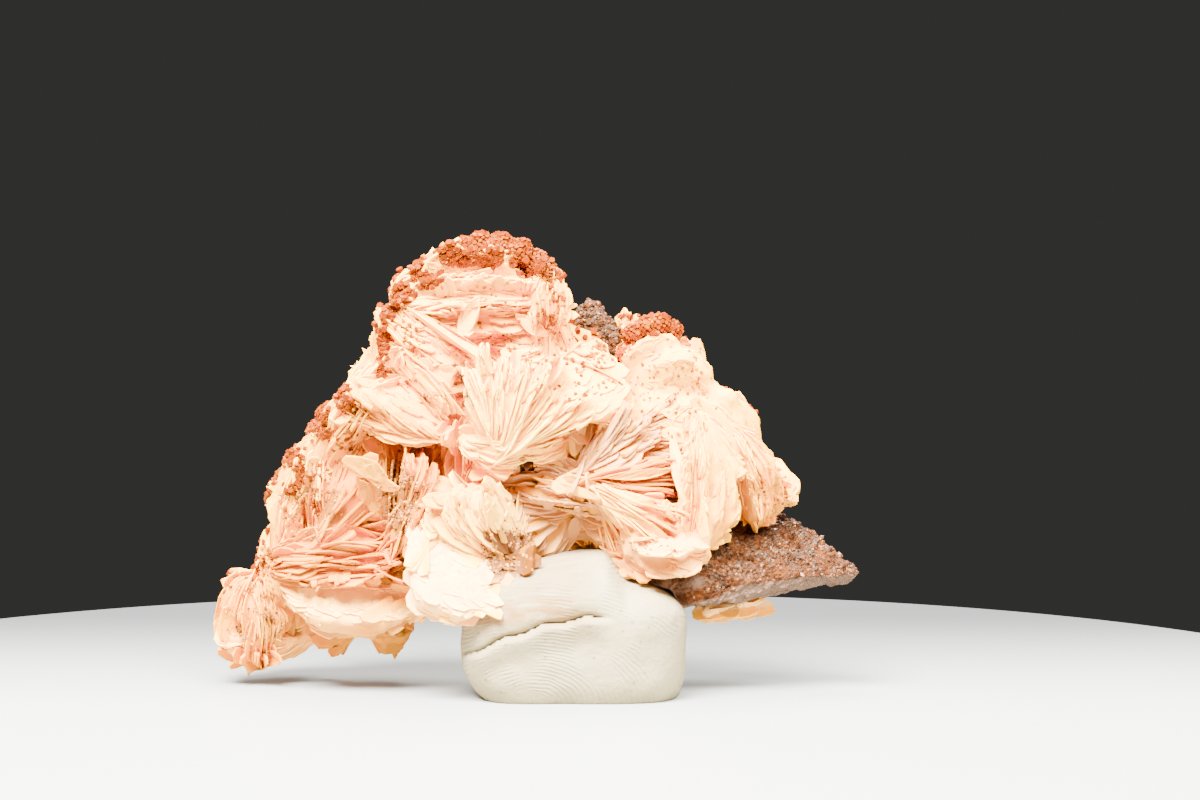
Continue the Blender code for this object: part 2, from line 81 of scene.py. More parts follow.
FRONT_SPRAYS = {
    "summit_dome": Spray((-10, 7, 65), (0, -0.75, 0.66), (1, 0, 0.05), 13, 29, 150, "white"),
    "summit_right": Spray((0.5, 4, 66), (0.5, -0.85, 0), (0.12, 0, 1), 8, 14, 90, "cream"),
    "left_cheek": Spray((-21, 2, 60.5), (-0.95, -0.25, 0.1), (0.05, 0, 1), 7, 13, 35, "pink"),
    "cheek_blades": Spray((-14.5, 3, 59), (-0.35, -0.85, -0.4), (0.82, -0.1, -0.57), 9.5, 20, 75, "peach"),
    "feather": Spray((-22.5, -1, 54.5), (0.84, -0.38, -0.38), (0.25, -0.75, 0.6), 12, 9, 40, "cream"),
    "central_fan": Spray((-6.5, -6, 42.5), (0.42, -0.38, 0.83), (-0.1, -0.85, -0.45), 17.5, 11, 100, "white"),
    "central_skirt": Spray((-4, -6, 43.5), (0.2, -0.85, -0.5), (1, 0, -0.15), 7.5, 18, 60, "white"),
    "upper_sheet": Spray((3.5, -1, 55), (0.84, -0.25, -0.5), (0.52, 0.63, 0.57), 17, 15, 28, "cream"),
    # recess_fan: its taupe is partly its own colour and partly painted shade of the recess.
    "recess_fan": Spray((6, -1, 36.5), (0.82, -0.25, 0.5), (-0.1, -0.95, -0.25), 17, 11, 50, "taupe"),
    "salmon_fan": Spray((9.5, -3, 36), (0.97, -0.2, 0.05), (-0.1, -0.95, 0.1), 15.5, 12, 36, "salmon"),
    "lower_fan": Spray((9.5, -4, 34.5), (0.83, -0.3, -0.46), (-0.2, -0.93, 0.25), 18, 13, 42, "cream"),
    "right_pages": Spray((26.5, -1, 35), (0.45, -0.88, 0), (0.1, 0, 1), 9.5, 24, 95, "cream"),
    "right_lobe": Spray((34.5, 5, 35.5), (0.75, -0.62, -0.1), (0.45, 0.1, -0.9), 9, 20, 80, "peach"),
    "right_tip": Spray((38, 7, 36), (0.85, -0.1, -0.4), (0.4, 0.2, 0.9), 8, 9, 40, "cream"),
    "peak_top": Spray((20.5, 6, 53), (0.1, -0.15, 0.98), (0.97, 0.2, 0), 9.5, 12, 40, "peach"),
    "peak_mid": Spray((22.5, 4, 49), (0.6, -0.2, 0.75), (0.77, 0.15, -0.6), 10.5, 13, 36, "cream"),
    "peak_low": Spray((28, 5, 44.5), (0.85, -0.2, 0.45), (0.45, 0.15, -0.87), 9, 14, 40, "cream"),
    "left_sweep": Spray((-15.5, -2, 46.5), (-0.93, -0.25, 0.2), (-0.1, -0.8, -0.55), 19, 11, 34, "peach"),
    "left_shoulder": Spray((-28.5, 1, 45), (-0.6, -0.55, 0.55), (0.7, 0, 0.7), 8, 18, 90, "cream"),
    "high_shoulder": Spray((-26, 2, 52), (-0.6, -0.6, 0.5), (0.55, 0, 0.83), 6.5, 14, 90, "cream"),
    "left_flank": Spray((-39, 3, 33.5), (-0.75, -0.62, 0.2), (0.35, 0, 0.93), 6.5, 21, 90, "cream"),
    "diagonal_fan": Spray((-38, -1, 24.5), (0.62, -0.25, 0.74), (0.1, -0.95, -0.3), 15, 9, 36, "ochre"),
    "yellow_blade": Spray((-26.5, -3, 28.5), (-0.12, -0.4, 0.9), (0.93, -0.25, 0), 13, 7, 14, "ochre"),
    "ochre_fan": Spray((-25, -3, 24.5), (0.42, -0.28, 0.86), (0.1, -0.93, -0.35), 18, 10, 34, "ochre"),
    "upright_pages": Spray((-10, 2, 39.5), (0, -1, -0.1), (0.06, -0.05, 1), 8, 11, 130, "peach"),
    "low_fan": Spray((-3.5, -8, 27), (-0.78, -0.42, 0.46), (-0.3, -0.75, -0.55), 16, 11, 75, "white"),
    "low_disc": Spray((-9.5, -12, 25.5), (-0.5, -0.42, -0.76), (0.86, -0.2, -0.3), 16.5, 20, 22, "pearl"),
    "left_disc": Spray((-31, -2, 17.5), (-0.1, -0.5, -0.85), (1, 0, -0.1), 9, 23, 40, "pink"),
    "level_pages": Spray((-34, 1, 22), (0, -0.97, 0.22), (1, 0, 0.03), 9, 21, 90, "ochre"),
    "foot": Spray((-48, 8, 12), (-0.45, -0.85, -0.2), (0.15, 0, 1), 8, 15, 150, "yellow"),
    "toe": Spray((-47.5, 9, 9.5), (0, -0.6, -0.8), (1, 0, 0), 7.5, 16, 80, "pink"),
    "prow": Spray((4, -2, 32), (0, -0.8, 0.6), (0.95, 0, -0.3), 8, 16, 80, "taupe"),
    "chin": Spray((19.5, -4, 23.5), (0, -0.5, -0.86), (1, 0, -0.2), 6, 14, 70, "pink"),
    "skirt": Spray((22, -6, 27), (0.05, -0.75, -0.66), (1, 0, -0.12), 9.5, 15, 80, "pink"),
    "under_left": Spray((-36, 12, 12), (0, -0.2, -1), (0.9, -0.3, 0), 8, 11, 120, "peach"),
    "under_mid": Spray((-26, 11, 12), (0.1, -0.2, -1), (0.9, 0.3, 0), 7.5, 9, 120, "peach"),
}
HANGING_SPRAYS = {
    "hanging_left": Spray((31.5, 1, 17.5), (-0.35, -0.35, -0.9), (0.9, -0.2, 0.1), 6.5, 8, 110, "pearl"),
    "hanging_right": Spray((35, 2, 17.5), (0.35, -0.3, -0.9), (0.9, 0.25, -0.1), 5.5, 8, 110, "pearl"),
}
TINTS = {
    "pearl": (0.98, 0.50, 0.15),
    "white": (0.98, 0.49, 0.05),
    "cream": (0.98, 0.44, 0.02),
    "peach": (0.95, 0.37, 0.01),
    "pink": (0.95, 0.42, 0.07),
    "salmon": (0.56, 0.175, 0.0),
    "ochre": (0.56, 0.165, 0.0),
    "yellow": (0.76, 0.27, 0.0),
    "taupe": (0.56, 0.27, 0.09),
    "orange": (0.62, 0.17, 0.0),
    "amber": (0.90, 0.40, 0.0),
    "rust": (0.30, 0.07, 0.005),
    "brown": (0.13, 0.045, 0.012),
    # dark: near black, the painted shade of deep holes.
    "dark": (0.03, 0.010, 0.004),
}

# Stained places of the broken side, and places painted with shade wholly or in part (the gaps of the dome and
# the feather, the recess and the holes), seen from the front: the middle (x, z), half sizes, colour, how
# strong it is, and how far the blades there are broken back.
Stain = namedtuple("Stain", "middle half tint strength sink")
STAINS_AND_SHADES = {
    # dome_gaps: painted orange shade in the gaps between the dome's blades.
    "dome_gaps": Stain((-6.4, 64), (10.7, 3.4), "ochre", 0.45, 0.2),
    "dome_right": Stain((3.9, 66.3), (1.6, 1.7), "orange", 0.9, 0.0),
    "cheek_band": Stain((-4.4, 59.9), (5, 1.3), "orange", 0.8, 0.5),
    # feather_gap: brown grit stain and painted shade down in the gap.
    "feather_gap": Stain((-11.8, 53.3), (1.7, 2.7), "brown", 0.7, 1.2),
    "rusty_spot": Stain((-18.2, 49.8), (1.3, 1.1), "rust", 0.9, 0.4),
    "sweep_spots": Stain((-24, 47.5), (5, 1.0), "rust", 0.5, 0.3),
    "sweep_notch": Stain((-30.3, 41.9), (1.4, 0.9), "brown", 0.9, 1.2),
    "left_pocket": Stain((-39.4, 33), (1.7, 1.7), "brown", 0.8, 0.8),
    "seam_pocket": Stain((-33.6, 30.5), (2.7, 2.1), "brown", 0.8, 0.8),
    "seam_rust": Stain((-31.6, 33.8), (3.0, 2.6), "orange", 0.9, 0.2),
    "left_seams": Stain((-35, 32), (6, 6), "ochre", 0.6, 0.0),
    "dark_hollow": Stain((-22.9, 33.5), (2.8, 6.5), "brown", 0.75, 1.6),
    "yellow_glow": Stain((-25.5, 40), (4.4, 4.0), "amber", 0.8, 0.0),
    # recess: grey-brown over the recessed fan, partly the fan's own taupe and partly painted shade.
    "recess": Stain((12, 42), (7, 4.5), "taupe", 0.6, 0.2),
    # fan_hole: painted shade, near black, in a deep hole where the blades are also sunk.
    "fan_hole": Stain((-1.1, 38.3), (2.0, 2.6), "dark", 1.0, 3.0),
    "low_hollow": Stain((-4.2, 24.6), (6.0, 5.0), "brown", 1.0, 0.9),
    "salmon_line": Stain((17.6, 36.4), (6.5, 0.8), "rust", 0.8, 0.5),
    "salmon_hole": Stain((20, 41.3), (1.4, 0.9), "brown", 0.8, 1.0),
    "prow_face": Stain((6.9, 30.6), (6.5, 4.6), "taupe", 0.5, 0.1),
    # prow holes: painted shade, near black, in deep holes where the blades are also sunk.
    "prow_hole": Stain((9.3, 26.9), (1, 1), "dark", 1.0, 2.0),
    "prow_hole_two": Stain((11, 28.9), (0.9, 0.9), "dark", 1.0, 2.0),
    "chin_rust": Stain((19.2, 22.8), (7.5, 1.6), "rust", 0.55, 0.2),
    "page_smudge": Stain((27.5, 37.1), (1, 0.6), "orange", 0.8, 0.0),
    "page_smudge_two": Stain((27.5, 32.5), (0.9, 0.6), "orange", 0.8, 0.0),
    "lobe_tip": Stain((42.3, 34.3), (2.8, 2.8), "yellow", 0.7, 0.0),
    "foot_top": Stain((-49.3, 16.2), (4.4, 4.4), "yellow", 1.0, 0.0),
    "foot_pocket": Stain((-50.9, 9.9), (1.5, 1.1), "brown", 0.9, 1.0),
    "foot_pocket_two": Stain((-46, 11.2), (1.5, 1.1), "brown", 0.9, 1.0),
    "foot_pocket_three": Stain((-41.8, 9.2), (1.5, 1), "brown", 0.8, 1.0),
    "under_nodules": Stain((-30, 9), (11, 3.4), "rust", 0.35, 0.0),
    "under_holes": Stain((-19.6, 9), (4.5, 1.2), "brown", 0.9, 1.0),
    "level_lines": Stain((-33, 24.4), (8, 3), "ochre", 0.5, 0.3),
}

# Sprays that turn the flat of their blades to the viewer.
FLAT_SPRAYS = (
    "low_disc", "left_disc", "left_cheek", "upper_sheet", "peak_top", "peak_mid", "peak_low",
    "hanging_left", "hanging_right", "chin", "skirt",
)

# Sprays whose blades hardly part, so that they look like smooth lumps: 1 is smoothest.
SMOOTHNESS = {
    "summit_dome": 0.35, "cheek_blades": 0.2, "chin": 0.9, "skirt": 0.85, "left_disc": 0.75,
    "low_disc": 0.8, "under_left": 0.8, "under_mid": 0.8, "toe": 0.6, "peak_mid": 0.8, "peak_top": 0.8,
    "peak_low": 0.8, "right_pages": 0.45, "right_lobe": 0.35, "right_tip": 0.5, "hanging_left": 0.97,
    "hanging_right": 0.97, "upper_sheet": 0.5, "left_cheek": 0.5, "summit_right": 0.3,
    "central_skirt": 0.3, "foot": 0.3,
}

# Large leaves, listed one by one: from and to (x, z), half width, how far it stands out, and tint.
Leaf = namedtuple("Leaf", "start end half rise tint")
LEAVES = {
    "page_edge": Leaf((23.3, 44.4), (25.9, 31.0), 0.85, 1.6, "white"),
    "dome_upright": Leaf((-9.4, 67.4), (-12.6, 60.2), 1.1, 1.3, "white"),
    "dome_low": Leaf((-3.4, 64.6), (2.2, 61.0), 0.9, 1.2, "cream"),
    "salmon_petal": Leaf((12.4, 37.2), (22.6, 38.4), 0.6, 0.9, "cream"),
    "prow_top": Leaf((0.2, 37.0), (11.6, 33.8), 0.6, 0.8, "cream"),
    "fan_leaf_left": Leaf((-7.6, 45.0), (-10.4, 55.4), 0.9, 0.9, "white"),
    "fan_leaf_right": Leaf((-4.4, 45.2), (3.6, 56.4), 0.9, 0.9, "white"),
    "fan_leaf_mid": Leaf((-6.0, 45.6), (-3.4, 57.4), 0.7, 0.9, "white"),
    "sheet_edge": Leaf((4.4, 57.6), (17.2, 50.6), 0.9, 1.0, "white"),
    "cheek_diagonal": Leaf((-21.4, 65.4), (-7.8, 57.2), 0.8, 1.0, "white"),
    "lower_blade": Leaf((11.6, 33.0), (22.4, 27.4), 0.8, 0.9, "cream"),
    "low_fan_edge": Leaf((-13.4, 37.4), (-5.4, 29.0), 0.7, 1.0, "white"),
}

# The barite's solid middle, as lumps: centre and half sizes.
CORE_LUMPS = {
    "summit": ((-10, 8, 65), (11.5, 10, 9)),
    "cheek": ((-16, 8, 55), (10, 11, 9)),
    "neck": ((-2, 8, 58), (9, 9, 8)),
    "middle": ((-4, 8, 43), (20, 14, 15)),
    "right": ((24, 9, 40), (15, 12, 15)),
    "peak": ((22, 9, 52), (8, 8, 9)),
    "left": ((-29.5, 9, 34), (12.5, 13, 14)),
    "belly": ((-8, 3, 27), (17, 12, 10)),
    "lower_left": ((-34, 8, 21), (14, 11, 9)),
    "foot": ((-47, 10, 12), (7.5, 8, 7)),
    "lower_right": ((18, 3, 28), (14, 9, 7)),
}

# The back is covered by domed sprays, one at each crossing of a skewed grid.
BACK_SPACING = 13.5
BACK_REACH = 9.0
BACK_BREADTH = 15.0
BACK_SINK = 5.0
BACK_LEFT, BACK_RIGHT = -48, 36
BACK_LOW, BACK_HIGH = 13, 72
BACK_SPREAD = 110
BACK_HUB = (-5, -6, 34)  # the place that the back's sprays face away from

# A crust of vanadinite, as clumps of crystals strung along the edge that it covers: place and half width.
CRUSTS = {
    "vanadinite_summit": [
        (-21, 6, 66.5, 2.2), (-18, 7, 70, 2.3), (-15.5, 7, 73, 2.3), (-12.5, 8, 75.2, 2.3),
        (-9.5, 7, 76.2, 2.2), (-6, 7, 76.1, 2.3), (-2.8, 7, 75, 2.3), (0, 8, 73, 2.3), (2, 8, 70.5, 2.2),
        (-17, 11, 71.5, 2.6), (-12.5, 12, 74, 2.6), (-8, 12, 75, 2.6), (-3.5, 12, 73.8, 2.6),
        (0.5, 12, 71, 2.6),
        (-7, 3.5, 75, 2.2), (-3, 3.5, 74.2, 2.2), (0, 4.5, 72, 2.2), (-14, 16, 70.5, 2.6), (-9, 16, 72, 2.7),
        (-4, 16, 71, 2.6),
    ],
    "vanadinite_cheek": [
        (-24.8, 7, 61.5, 2.2), (-25, 6, 58.7, 2.2), (-25.2, 5.6, 55.6, 2.2), (-24.2, 10.5, 61.5, 2.4),
        (-24.4, 10, 58, 2.4),
    ],
    "vanadinite_shoulder": [
        (-32.2, 6, 49.4, 2.1), (-29, 7, 51.3, 2.1), (-35.6, 6, 46.8, 2.2), (-37.6, 6, 43.8, 2.2),
        (-32.5, 10, 49.2, 2.5), (-36, 10, 46, 2.5), (-28.5, 10.5, 51.5, 2.3), (-38.6, 8, 41, 2.1),
        (-37, 13, 43, 2.5),
    ],
    "vanadinite_flank": [
        (-42.3, 6, 36.8, 2.0), (-44.4, 6, 34, 2.0), (-45, 9, 32, 2.2), (-41.8, 9.5, 38, 2.2),
        (-43.5, 12.5, 35, 2.4), (-41, 14, 37.5, 2.4), (-44.3, 13, 30.5, 2.2),
    ],
    "vanadinite_peak": [
        (16.5, 7, 60.6, 1.8), (19, 7, 61.9, 1.9), (21.5, 7, 62.4, 1.9), (23.5, 8, 61.2, 1.8),
        (20, 10, 61.6, 2.2), (22.5, 11, 60, 2.1),
    ],
}

# Loose crystals and grit over a patch of the surface: the patch's centre, the direction that it is seen
# along, its half width across and up, how many, and their half width.
Patch = namedtuple("Patch", "centre along half count size")
FROM_FRONT = (0, 1, 0)
FROM_BACK = (0, -1, 0)
FROM_ABOVE = (0, 0, -1)
FROM_LEFT = (1, 0, 0)
SPECK_PATCHES = {
    "dome": Patch((-8, 0, 64), FROM_FRONT, (14, 8), 70, 0.24),
    "dome_rim_left": Patch((-22.5, 0, 67), FROM_FRONT, (2.2, 2.8), 90, 0.47),
    "dome_rim_corner": Patch((-18.5, 0, 71.3), FROM_FRONT, (3.0, 2.4), 110, 0.49),
    "dome_rim_rise": Patch((-13, 0, 74.6), FROM_FRONT, (3.8, 2.0), 140, 0.49),
    "dome_rim_top": Patch((-6.5, 0, 75.2), FROM_FRONT, (4.8, 2.9), 250, 0.49),
    "dome_rim_fall": Patch((-0.5, 0, 74.6), FROM_FRONT, (3.8, 3.3), 190, 0.47),
    "dome_rim_right": Patch((3, 0, 71.5), FROM_FRONT, (1.8, 2.8), 60, 0.44),
    "summit_right": Patch((2.5, 0, 66), FROM_FRONT, (2.5, 5), 45, 0.33),
    "upper_sheet": Patch((7, 0, 56), FROM_FRONT, (9, 6), 100, 0.28),
    "sheet_edge": Patch((12, 0, 57.5), FROM_FRONT, (5, 2), 70, 0.28),
    "peak_face": Patch((25, 0, 52), FROM_FRONT, (8, 9), 100, 0.24),
    "peak_rim": Patch((19.2, 0, 62.6), FROM_FRONT, (5.4, 2.0), 110, 0.45),
    "cheek_rim": Patch((-25.2, 0, 61.3), FROM_FRONT, (1.8, 4.4), 125, 0.47),
    "cheek": Patch((-22, 0, 60), FROM_FRONT, (3.5, 8), 70, 0.28),
    "cheek_foot": Patch((-26, 0, 55.5), FROM_FRONT, (1.5, 1.8), 40, 0.33),
    "shoulder_rim": Patch((-32.5, 0, 50.4), FROM_FRONT, (2.4, 2.2), 90, 0.47),
    "shoulder_fall": Patch((-36.1, 0, 46.2), FROM_FRONT, (2.2, 3.0), 135, 0.37),
    "shoulder": Patch((-33, 0, 46), FROM_FRONT, (6, 5), 85, 0.28),
    "flank_rim": Patch((-41.8, 0, 39), FROM_FRONT, (2.4, 5.4), 110, 0.42),
    "flank": Patch((-39.5, 0, 36), FROM_FRONT, (5, 8), 120, 0.28),
    "foot_top": Patch((-48, 0, 18), FROM_FRONT, (6, 3), 50, 0.26),
    "foot_edge": Patch((-46, 0, 22), FROM_FRONT, (1.8, 2.6), 50, 0.30),
    "lobe_tip": Patch((41, 0, 34), FROM_FRONT, (3, 3), 40, 0.24),
}
GRIT_PATCHES = {
    "dark_hollow": Patch((-23, 0, 34), FROM_FRONT, (3.5, 7), 260, 0.22),
    "low_hollow": Patch((-4.5, 0, 25), FROM_FRONT, (4.5, 4), 240, 0.22),
    "feather_gap": Patch((-12, 0, 53), FROM_FRONT, (1.6, 3), 60, 0.2),
    "rusty_spot": Patch((-18.5, 0, 50), FROM_FRONT, (1.2, 1), 30, 0.22),
    "sweep_notch": Patch((-30.5, 0, 42), FROM_FRONT, (1.3, 1), 26, 0.22),
    "left_seams": Patch((-38, 0, 32), FROM_FRONT, (6, 6), 120, 0.22),
    "dome_seam": Patch((-5, 0, 60), FROM_FRONT, (5, 1.2), 60, 0.2),
    "foot_pockets": Patch((-49, 0, 11), FROM_FRONT, (6, 3), 60, 0.24),
    "chin": Patch((18, 0, 25), FROM_FRONT, (6, 2), 60, 0.2),
}
ROCK_PATCHES = {
    "wedge_top": Patch((40, -2, 0), FROM_ABOVE, (17, 12), 1500, 0.42),
    "wedge_face": Patch((36, 0, 26), FROM_FRONT, (16, 6), 900, 0.40),
    "outcrop": Patch((8, 0, 62), FROM_FRONT, (6, 6), 520, 0.42),
    "outcrop_top": Patch((10, 12, 0), FROM_ABOVE, (8, 9), 500, 0.42),
}
GROWN_SIDE = {
    "back_top": Patch((-10, 0, 62), FROM_BACK, (18, 14), 420, 0.55),
    "back_left": Patch((-34, 0, 38), FROM_BACK, (14, 14), 300, 0.55),
    "back_middle": Patch((-4, 0, 42), FROM_BACK, (20, 16), 160, 0.5),
    "back_right": Patch((26, 0, 48), FROM_BACK, (12, 12), 150, 0.5),
    "back_foot": Patch((-42, 0, 18), FROM_BACK, (14, 10), 90, 0.5),
    "crown": Patch((-12, 12, 0), FROM_ABOVE, (24, 9), 420, 0.55),
    "left_side": Patch((0, 10, 38), FROM_LEFT, (8, 26), 260, 0.5),
}

# The putty, as a pinched round block.
PUTTY_CENTRE = (6.5, -3, 9)
PUTTY_HALF = (19, 17, 12.5)
PUTTY_SQUARENESS = 3.8  # 2 is a ball, and larger is squarer
PUTTY_CUTS = 68
PUTTY_SHOULDER = 2.5
PUTTY_TILT = 2.5
PUTTY_SAG = 4.6
PUTTY_SAG_ACROSS = (11.5, 16)
PUTTY_SAG_UP = (11, 24)
WAVE_TURN = 6.28  # what a wave texture's scale counts in
TABLE_THICKNESS = 0.012  # metres, as the lights' places are
LIGHTS_AIM = (0, 0, 0.035)

BLADE_TEMPLATES, BLADE_CORNERS = 16, 11
PAGE_TEMPLATES, PAGE_CORNERS = 8, 15
DEEPEST_DROP, HIGHEST_RISE = -2.2, 0.7  # how far a blade follows the surface down and up
OVERHANG = -1.3  # a blade is shortened while its end hangs further over the surface than this
SHORTEST_HALF = 1.2
STEEP_ENOUGH = 0.5  # below this a spray turns its flat side out
HANGING_BLADES = 26
FRONT_LIMIT = 0.25  # faces whose normal's y is under this belong to the broken side
UPPER_FROM = 42

GOLDEN_ANGLE = 2.399963
CLUMP_CORE = 0.86  # share of a clump's half width that its smooth middle takes
CLUMP_BURIED = 0.66
STRAY_CRYSTALS = 36  # tries for crystals beside each clump
FAR_OFF = 120  # where the lines that find the surface start
TRIES = 6  # for each spot of a patch
GRAIN_TEMPLATES = 8


class Value:
    """A shader socket that sums can be written with: each sum adds its Math node."""

    def __init__(self, finish, socket):
        self.finish = finish
        self.socket = socket

    def maths(self, operation, *others):
        values = {n: value for n, value in enumerate((self, *others))}
        return self.finish.node("ShaderNodeMath", {"operation": operation}, values)

    def __add__(self, other):
        return self.maths("ADD", other)

    def __radd__(self, other):
        return self + other

    def __sub__(self, other):
        return self.maths("SUBTRACT", other)

    def __rsub__(self, other):
        return self * -1 + other

    def __mul__(self, other):
        return self.maths("MULTIPLY", other)

    def __rmul__(self, other):
        return self * other

    def most(self, other):
        return self.maths("MAXIMUM", other)

    def ramp(self, low, high):
        """0 below low, 1 above high, and smooth between."""
        values = {"Value": self, "From Min": low, "From Max": high}
        return self.finish.node("ShaderNodeMapRange", {"interpolation_type": "SMOOTHSTEP"}, values)


class Finish:
    """A material under construction, with one Principled shader."""

    def __init__(self, name, **constants):
        self.material = bpy.data.materials.new(name)
        self.material.use_nodes = True
        self.tree = self.material.node_tree
        self.shader = self.tree.nodes["Principled BSDF"]
        for socket, value in constants.items():
            self.shader.inputs[socket.replace("_", " ")].default_value = value

    def node(self, kind, settings=None, values=None, output=0):
        """Adds a node: its settings first, then the values or links of its sockets."""
        node = self.tree.nodes.new(kind)
        for name, value in (settings or {}).items():
            if name == "stops":
                while len(node.color_ramp.elements) < len(value):
                    node.color_ramp.elements.new(0.5)
                for element, (place, colour) in zip(node.color_ramp.elements, value):
                    element.position = place
                    element.color = (*colour, 1.0)
            else:
                setattr(node, name, value)
        for name, value in (values or {}).items():
            self.feed(node.inputs[name], value)
        return Value(self, node.outputs[output])

    def feed(self, socket, value):
        if isinstance(value, Value):
            self.tree.links.new(value.socket, socket)
        elif socket.type == "RGBA" and len(value) == 3:
            socket.default_value = (*value, 1.0)
        else:
            socket.default_value = value

    def set(self, **sockets):
        for name, value in sockets.items():
            self.feed(self.shader.inputs[name.replace("_", " ")], value)

    def place(self):
        """Object coordinates, in millimetres."""
        spot = self.node("ShaderNodeTexCoord", output="Object")
        return self.vector("SCALE", spot, scale=1 / MM)

    def vector(self, operation, *vectors, scale=None):
        values = {n: vector for n, vector in enumerate(vectors)}
        if scale is not None:
            values["Scale"] = scale
        return self.node("ShaderNodeVectorMath", {"operation": operation}, values)

    def attribute(self, name, output):
        return self.node("ShaderNodeAttribute", {"attribute_name": name}, output=output)

    def noise(self, place, size, detail=3.0, roughness=0.5):
        """Noise between 0 and 1, with features of a size in the units of place."""
        values = {"Vector": place, "Scale": 1 / size, "Detail": detail, "Roughness": roughness}
        return self.node("ShaderNodeTexNoise", None, values, output="Fac")

    def cells(self, place, size, output="Distance"):
        values = {"Vector": place, "Scale": 1 / size, "Randomness": 1.0}
        return self.node("ShaderNodeTexVoronoi", None, values, output=output)

    def mix(self, factor, first, second, blend="MIX"):
        settings = {"data_type": "RGBA", "blend_type": blend}
        values = {"Factor": factor, 6: first, 7: second}
        return self.node("ShaderNodeMix", settings, values, output=2)

    def bump(self, height, distance, under=None):
        values = {"Height": height, "Distance": distance * MM, "Strength": 1.0}
        if under is not None:
            values["Normal"] = under
        return self.node("ShaderNodeBump", None, values)


def barite_finish(settings):
    """Barite: pearly blades, cream at their edges, and orange down in the gaps: partly stained with rust and
    partly painted shade.
    """
    finish = Finish("barite", Subsurface_Weight=0.3, Subsurface_Scale=0.0010, Specular_IOR_Level=0.09)
    finish.set(Subsurface_Radius=(1.0, 0.55, 0.15), Specular_Tint=(1.0, 0.72, 0.40))
    place = finish.place()
    tint = finish.attribute("tint", "Color")
    reach = finish.attribute("reach", "Fac")
    grain = finish.attribute("grain", "Vector")
    streaks = finish.noise(finish.vector("MULTIPLY", grain, (0.3, 3.6, 1.0)), 1.0, 4.0, 0.6)
    patches = finish.noise(place, 7.0, 3.0)
    # Low down in a blade the colour turns to the stain colour: partly iron stain, partly painted shade of the
    # gaps between the blades.
    clean_and_unshaded = reach + (patches - 0.5) * 0.7 + (streaks - 0.5) * 0.5
    clean_and_unshaded = clean_and_unshaded.ramp(settings.stain_and_shade_start, settings.stain_and_shade_end)
    stained_and_shaded = finish.mix(1.0, tint, settings.stain_and_shade_colour[:], "MULTIPLY")
    colour = finish.mix(clean_and_unshaded, stained_and_shaded, tint)
    warmer = finish.mix(1.0, colour, (1, 0.80, 0.62), "MULTIPLY")
    colour = finish.mix((1 - streaks).ramp(0.35, 0.75) * 0.35, colour, warmer)
    rust = finish.noise(place, 2.2, 5.0, 0.7).ramp(0.60, 0.74)
    rust = rust * finish.noise(place, 11.0, 2.0).ramp(0.50, 0.68)
    colour = finish.mix(rust * 0.75, colour, settings.rust_colour[:])
    dots = (1 - finish.cells(place, 1.5)).ramp(0.74, 0.86)
    dots = dots * finish.noise(place, 6.0, 1.0).ramp(0.55, 0.62)
    colour = finish.mix(dots * 0.6, colour, settings.dot_colour[:])
    height = streaks * 0.6 + finish.noise(place, 0.45, 2.0) * 0.4
    finish.set(
        Base_Color=colour,
        Roughness=finish.noise(place, 1.6, 2.0) * 0.25 + 0.36,
        Normal=finish.bump(height, 0.16),
    )
    return finish.material


def vanadinite_finish(settings):
    """Vanadinite: orange red, resinous and glossy, each crystal a little different."""
    finish = Finish("vanadinite", Specular_IOR_Level=0.06, Subsurface_Weight=0.12, Subsurface_Scale=0.0008)
    finish.set(Subsurface_Radius=(1.0, 0.25, 0.03), Specular_Tint=(1.0, 0.40, 0.08), Coat_Roughness=0.12)
    place = finish.place()
    tone = finish.attribute("tone", "Fac")
    stops = [
        (0.0, settings.dark_colour[:]),
        (0.45, settings.main_colour[:]),
        (0.8, settings.light_colour[:]),
        (1.0, settings.pale_colour[:]),
    ]
    shade = tone + (finish.noise(place, 0.5, 2.0) - 0.5) * 0.35
    colour = finish.node("ShaderNodeValToRGB", {"stops": stops}, {"Fac": shade}, output="Color")
    finish.set(
        Base_Color=colour,
        Roughness=finish.noise(place, 0.7, 2.0) * 0.3 + 0.16,
        Coat_Weight=finish.noise(place, 0.9, 1.0).ramp(0.60, 0.66) * 0.1,
        Normal=finish.bump(finish.noise(place, 0.3, 2.0), 0.05),
    )
    return finish.material


def rock_finish(settings):
    """The rock: brown grains that glitter on top, and a grey broken face underneath."""
    finish = Finish("rock", Specular_IOR_Level=0.10)
    finish.set(Specular_Tint=(1.0, 0.62, 0.36))
    place = finish.place()
    broken = finish.attribute("broken", "Fac")
    grains = finish.cells(place, 0.55)
    grain_tone = finish.cells(place, 0.55, output="Color")
    whole = {"Color": grain_tone}
    red, green = (finish.node("ShaderNodeSeparateColor", None, whole, output=n) for n in (0, 1))
    brown = finish.mix(red, settings.dark_colour[:], settings.brown_colour[:])
    brown = finish.mix(green.ramp(0.72, 0.95) * 0.8, brown, settings.tan_colour[:])
    rust = finish.noise(place, 5.0, 3.0).ramp(0.52, 0.70)
    brown = finish.mix(rust * 0.6, brown, settings.rust_colour[:])
    cloud = finish.noise(place, 2.4, 5.0, 0.65)
    grey = finish.mix(cloud, settings.grey_colour[:], settings.mauve_colour[:])
    pale = finish.noise(place, 4.5, 3.0).ramp(0.60, 0.68)
    grey = finish.mix(pale * 0.5, grey, settings.tan_colour[:])
    finish.set(
        Base_Color=finish.mix(broken, brown, grey),
        Roughness=(red * 0.55 + 0.25).most(broken * 0.75),
        Normal=finish.bump(finish.noise(place, 0.7, 5.0, 0.7) - grains * 0.8, 0.35),
    )
    return finish.material


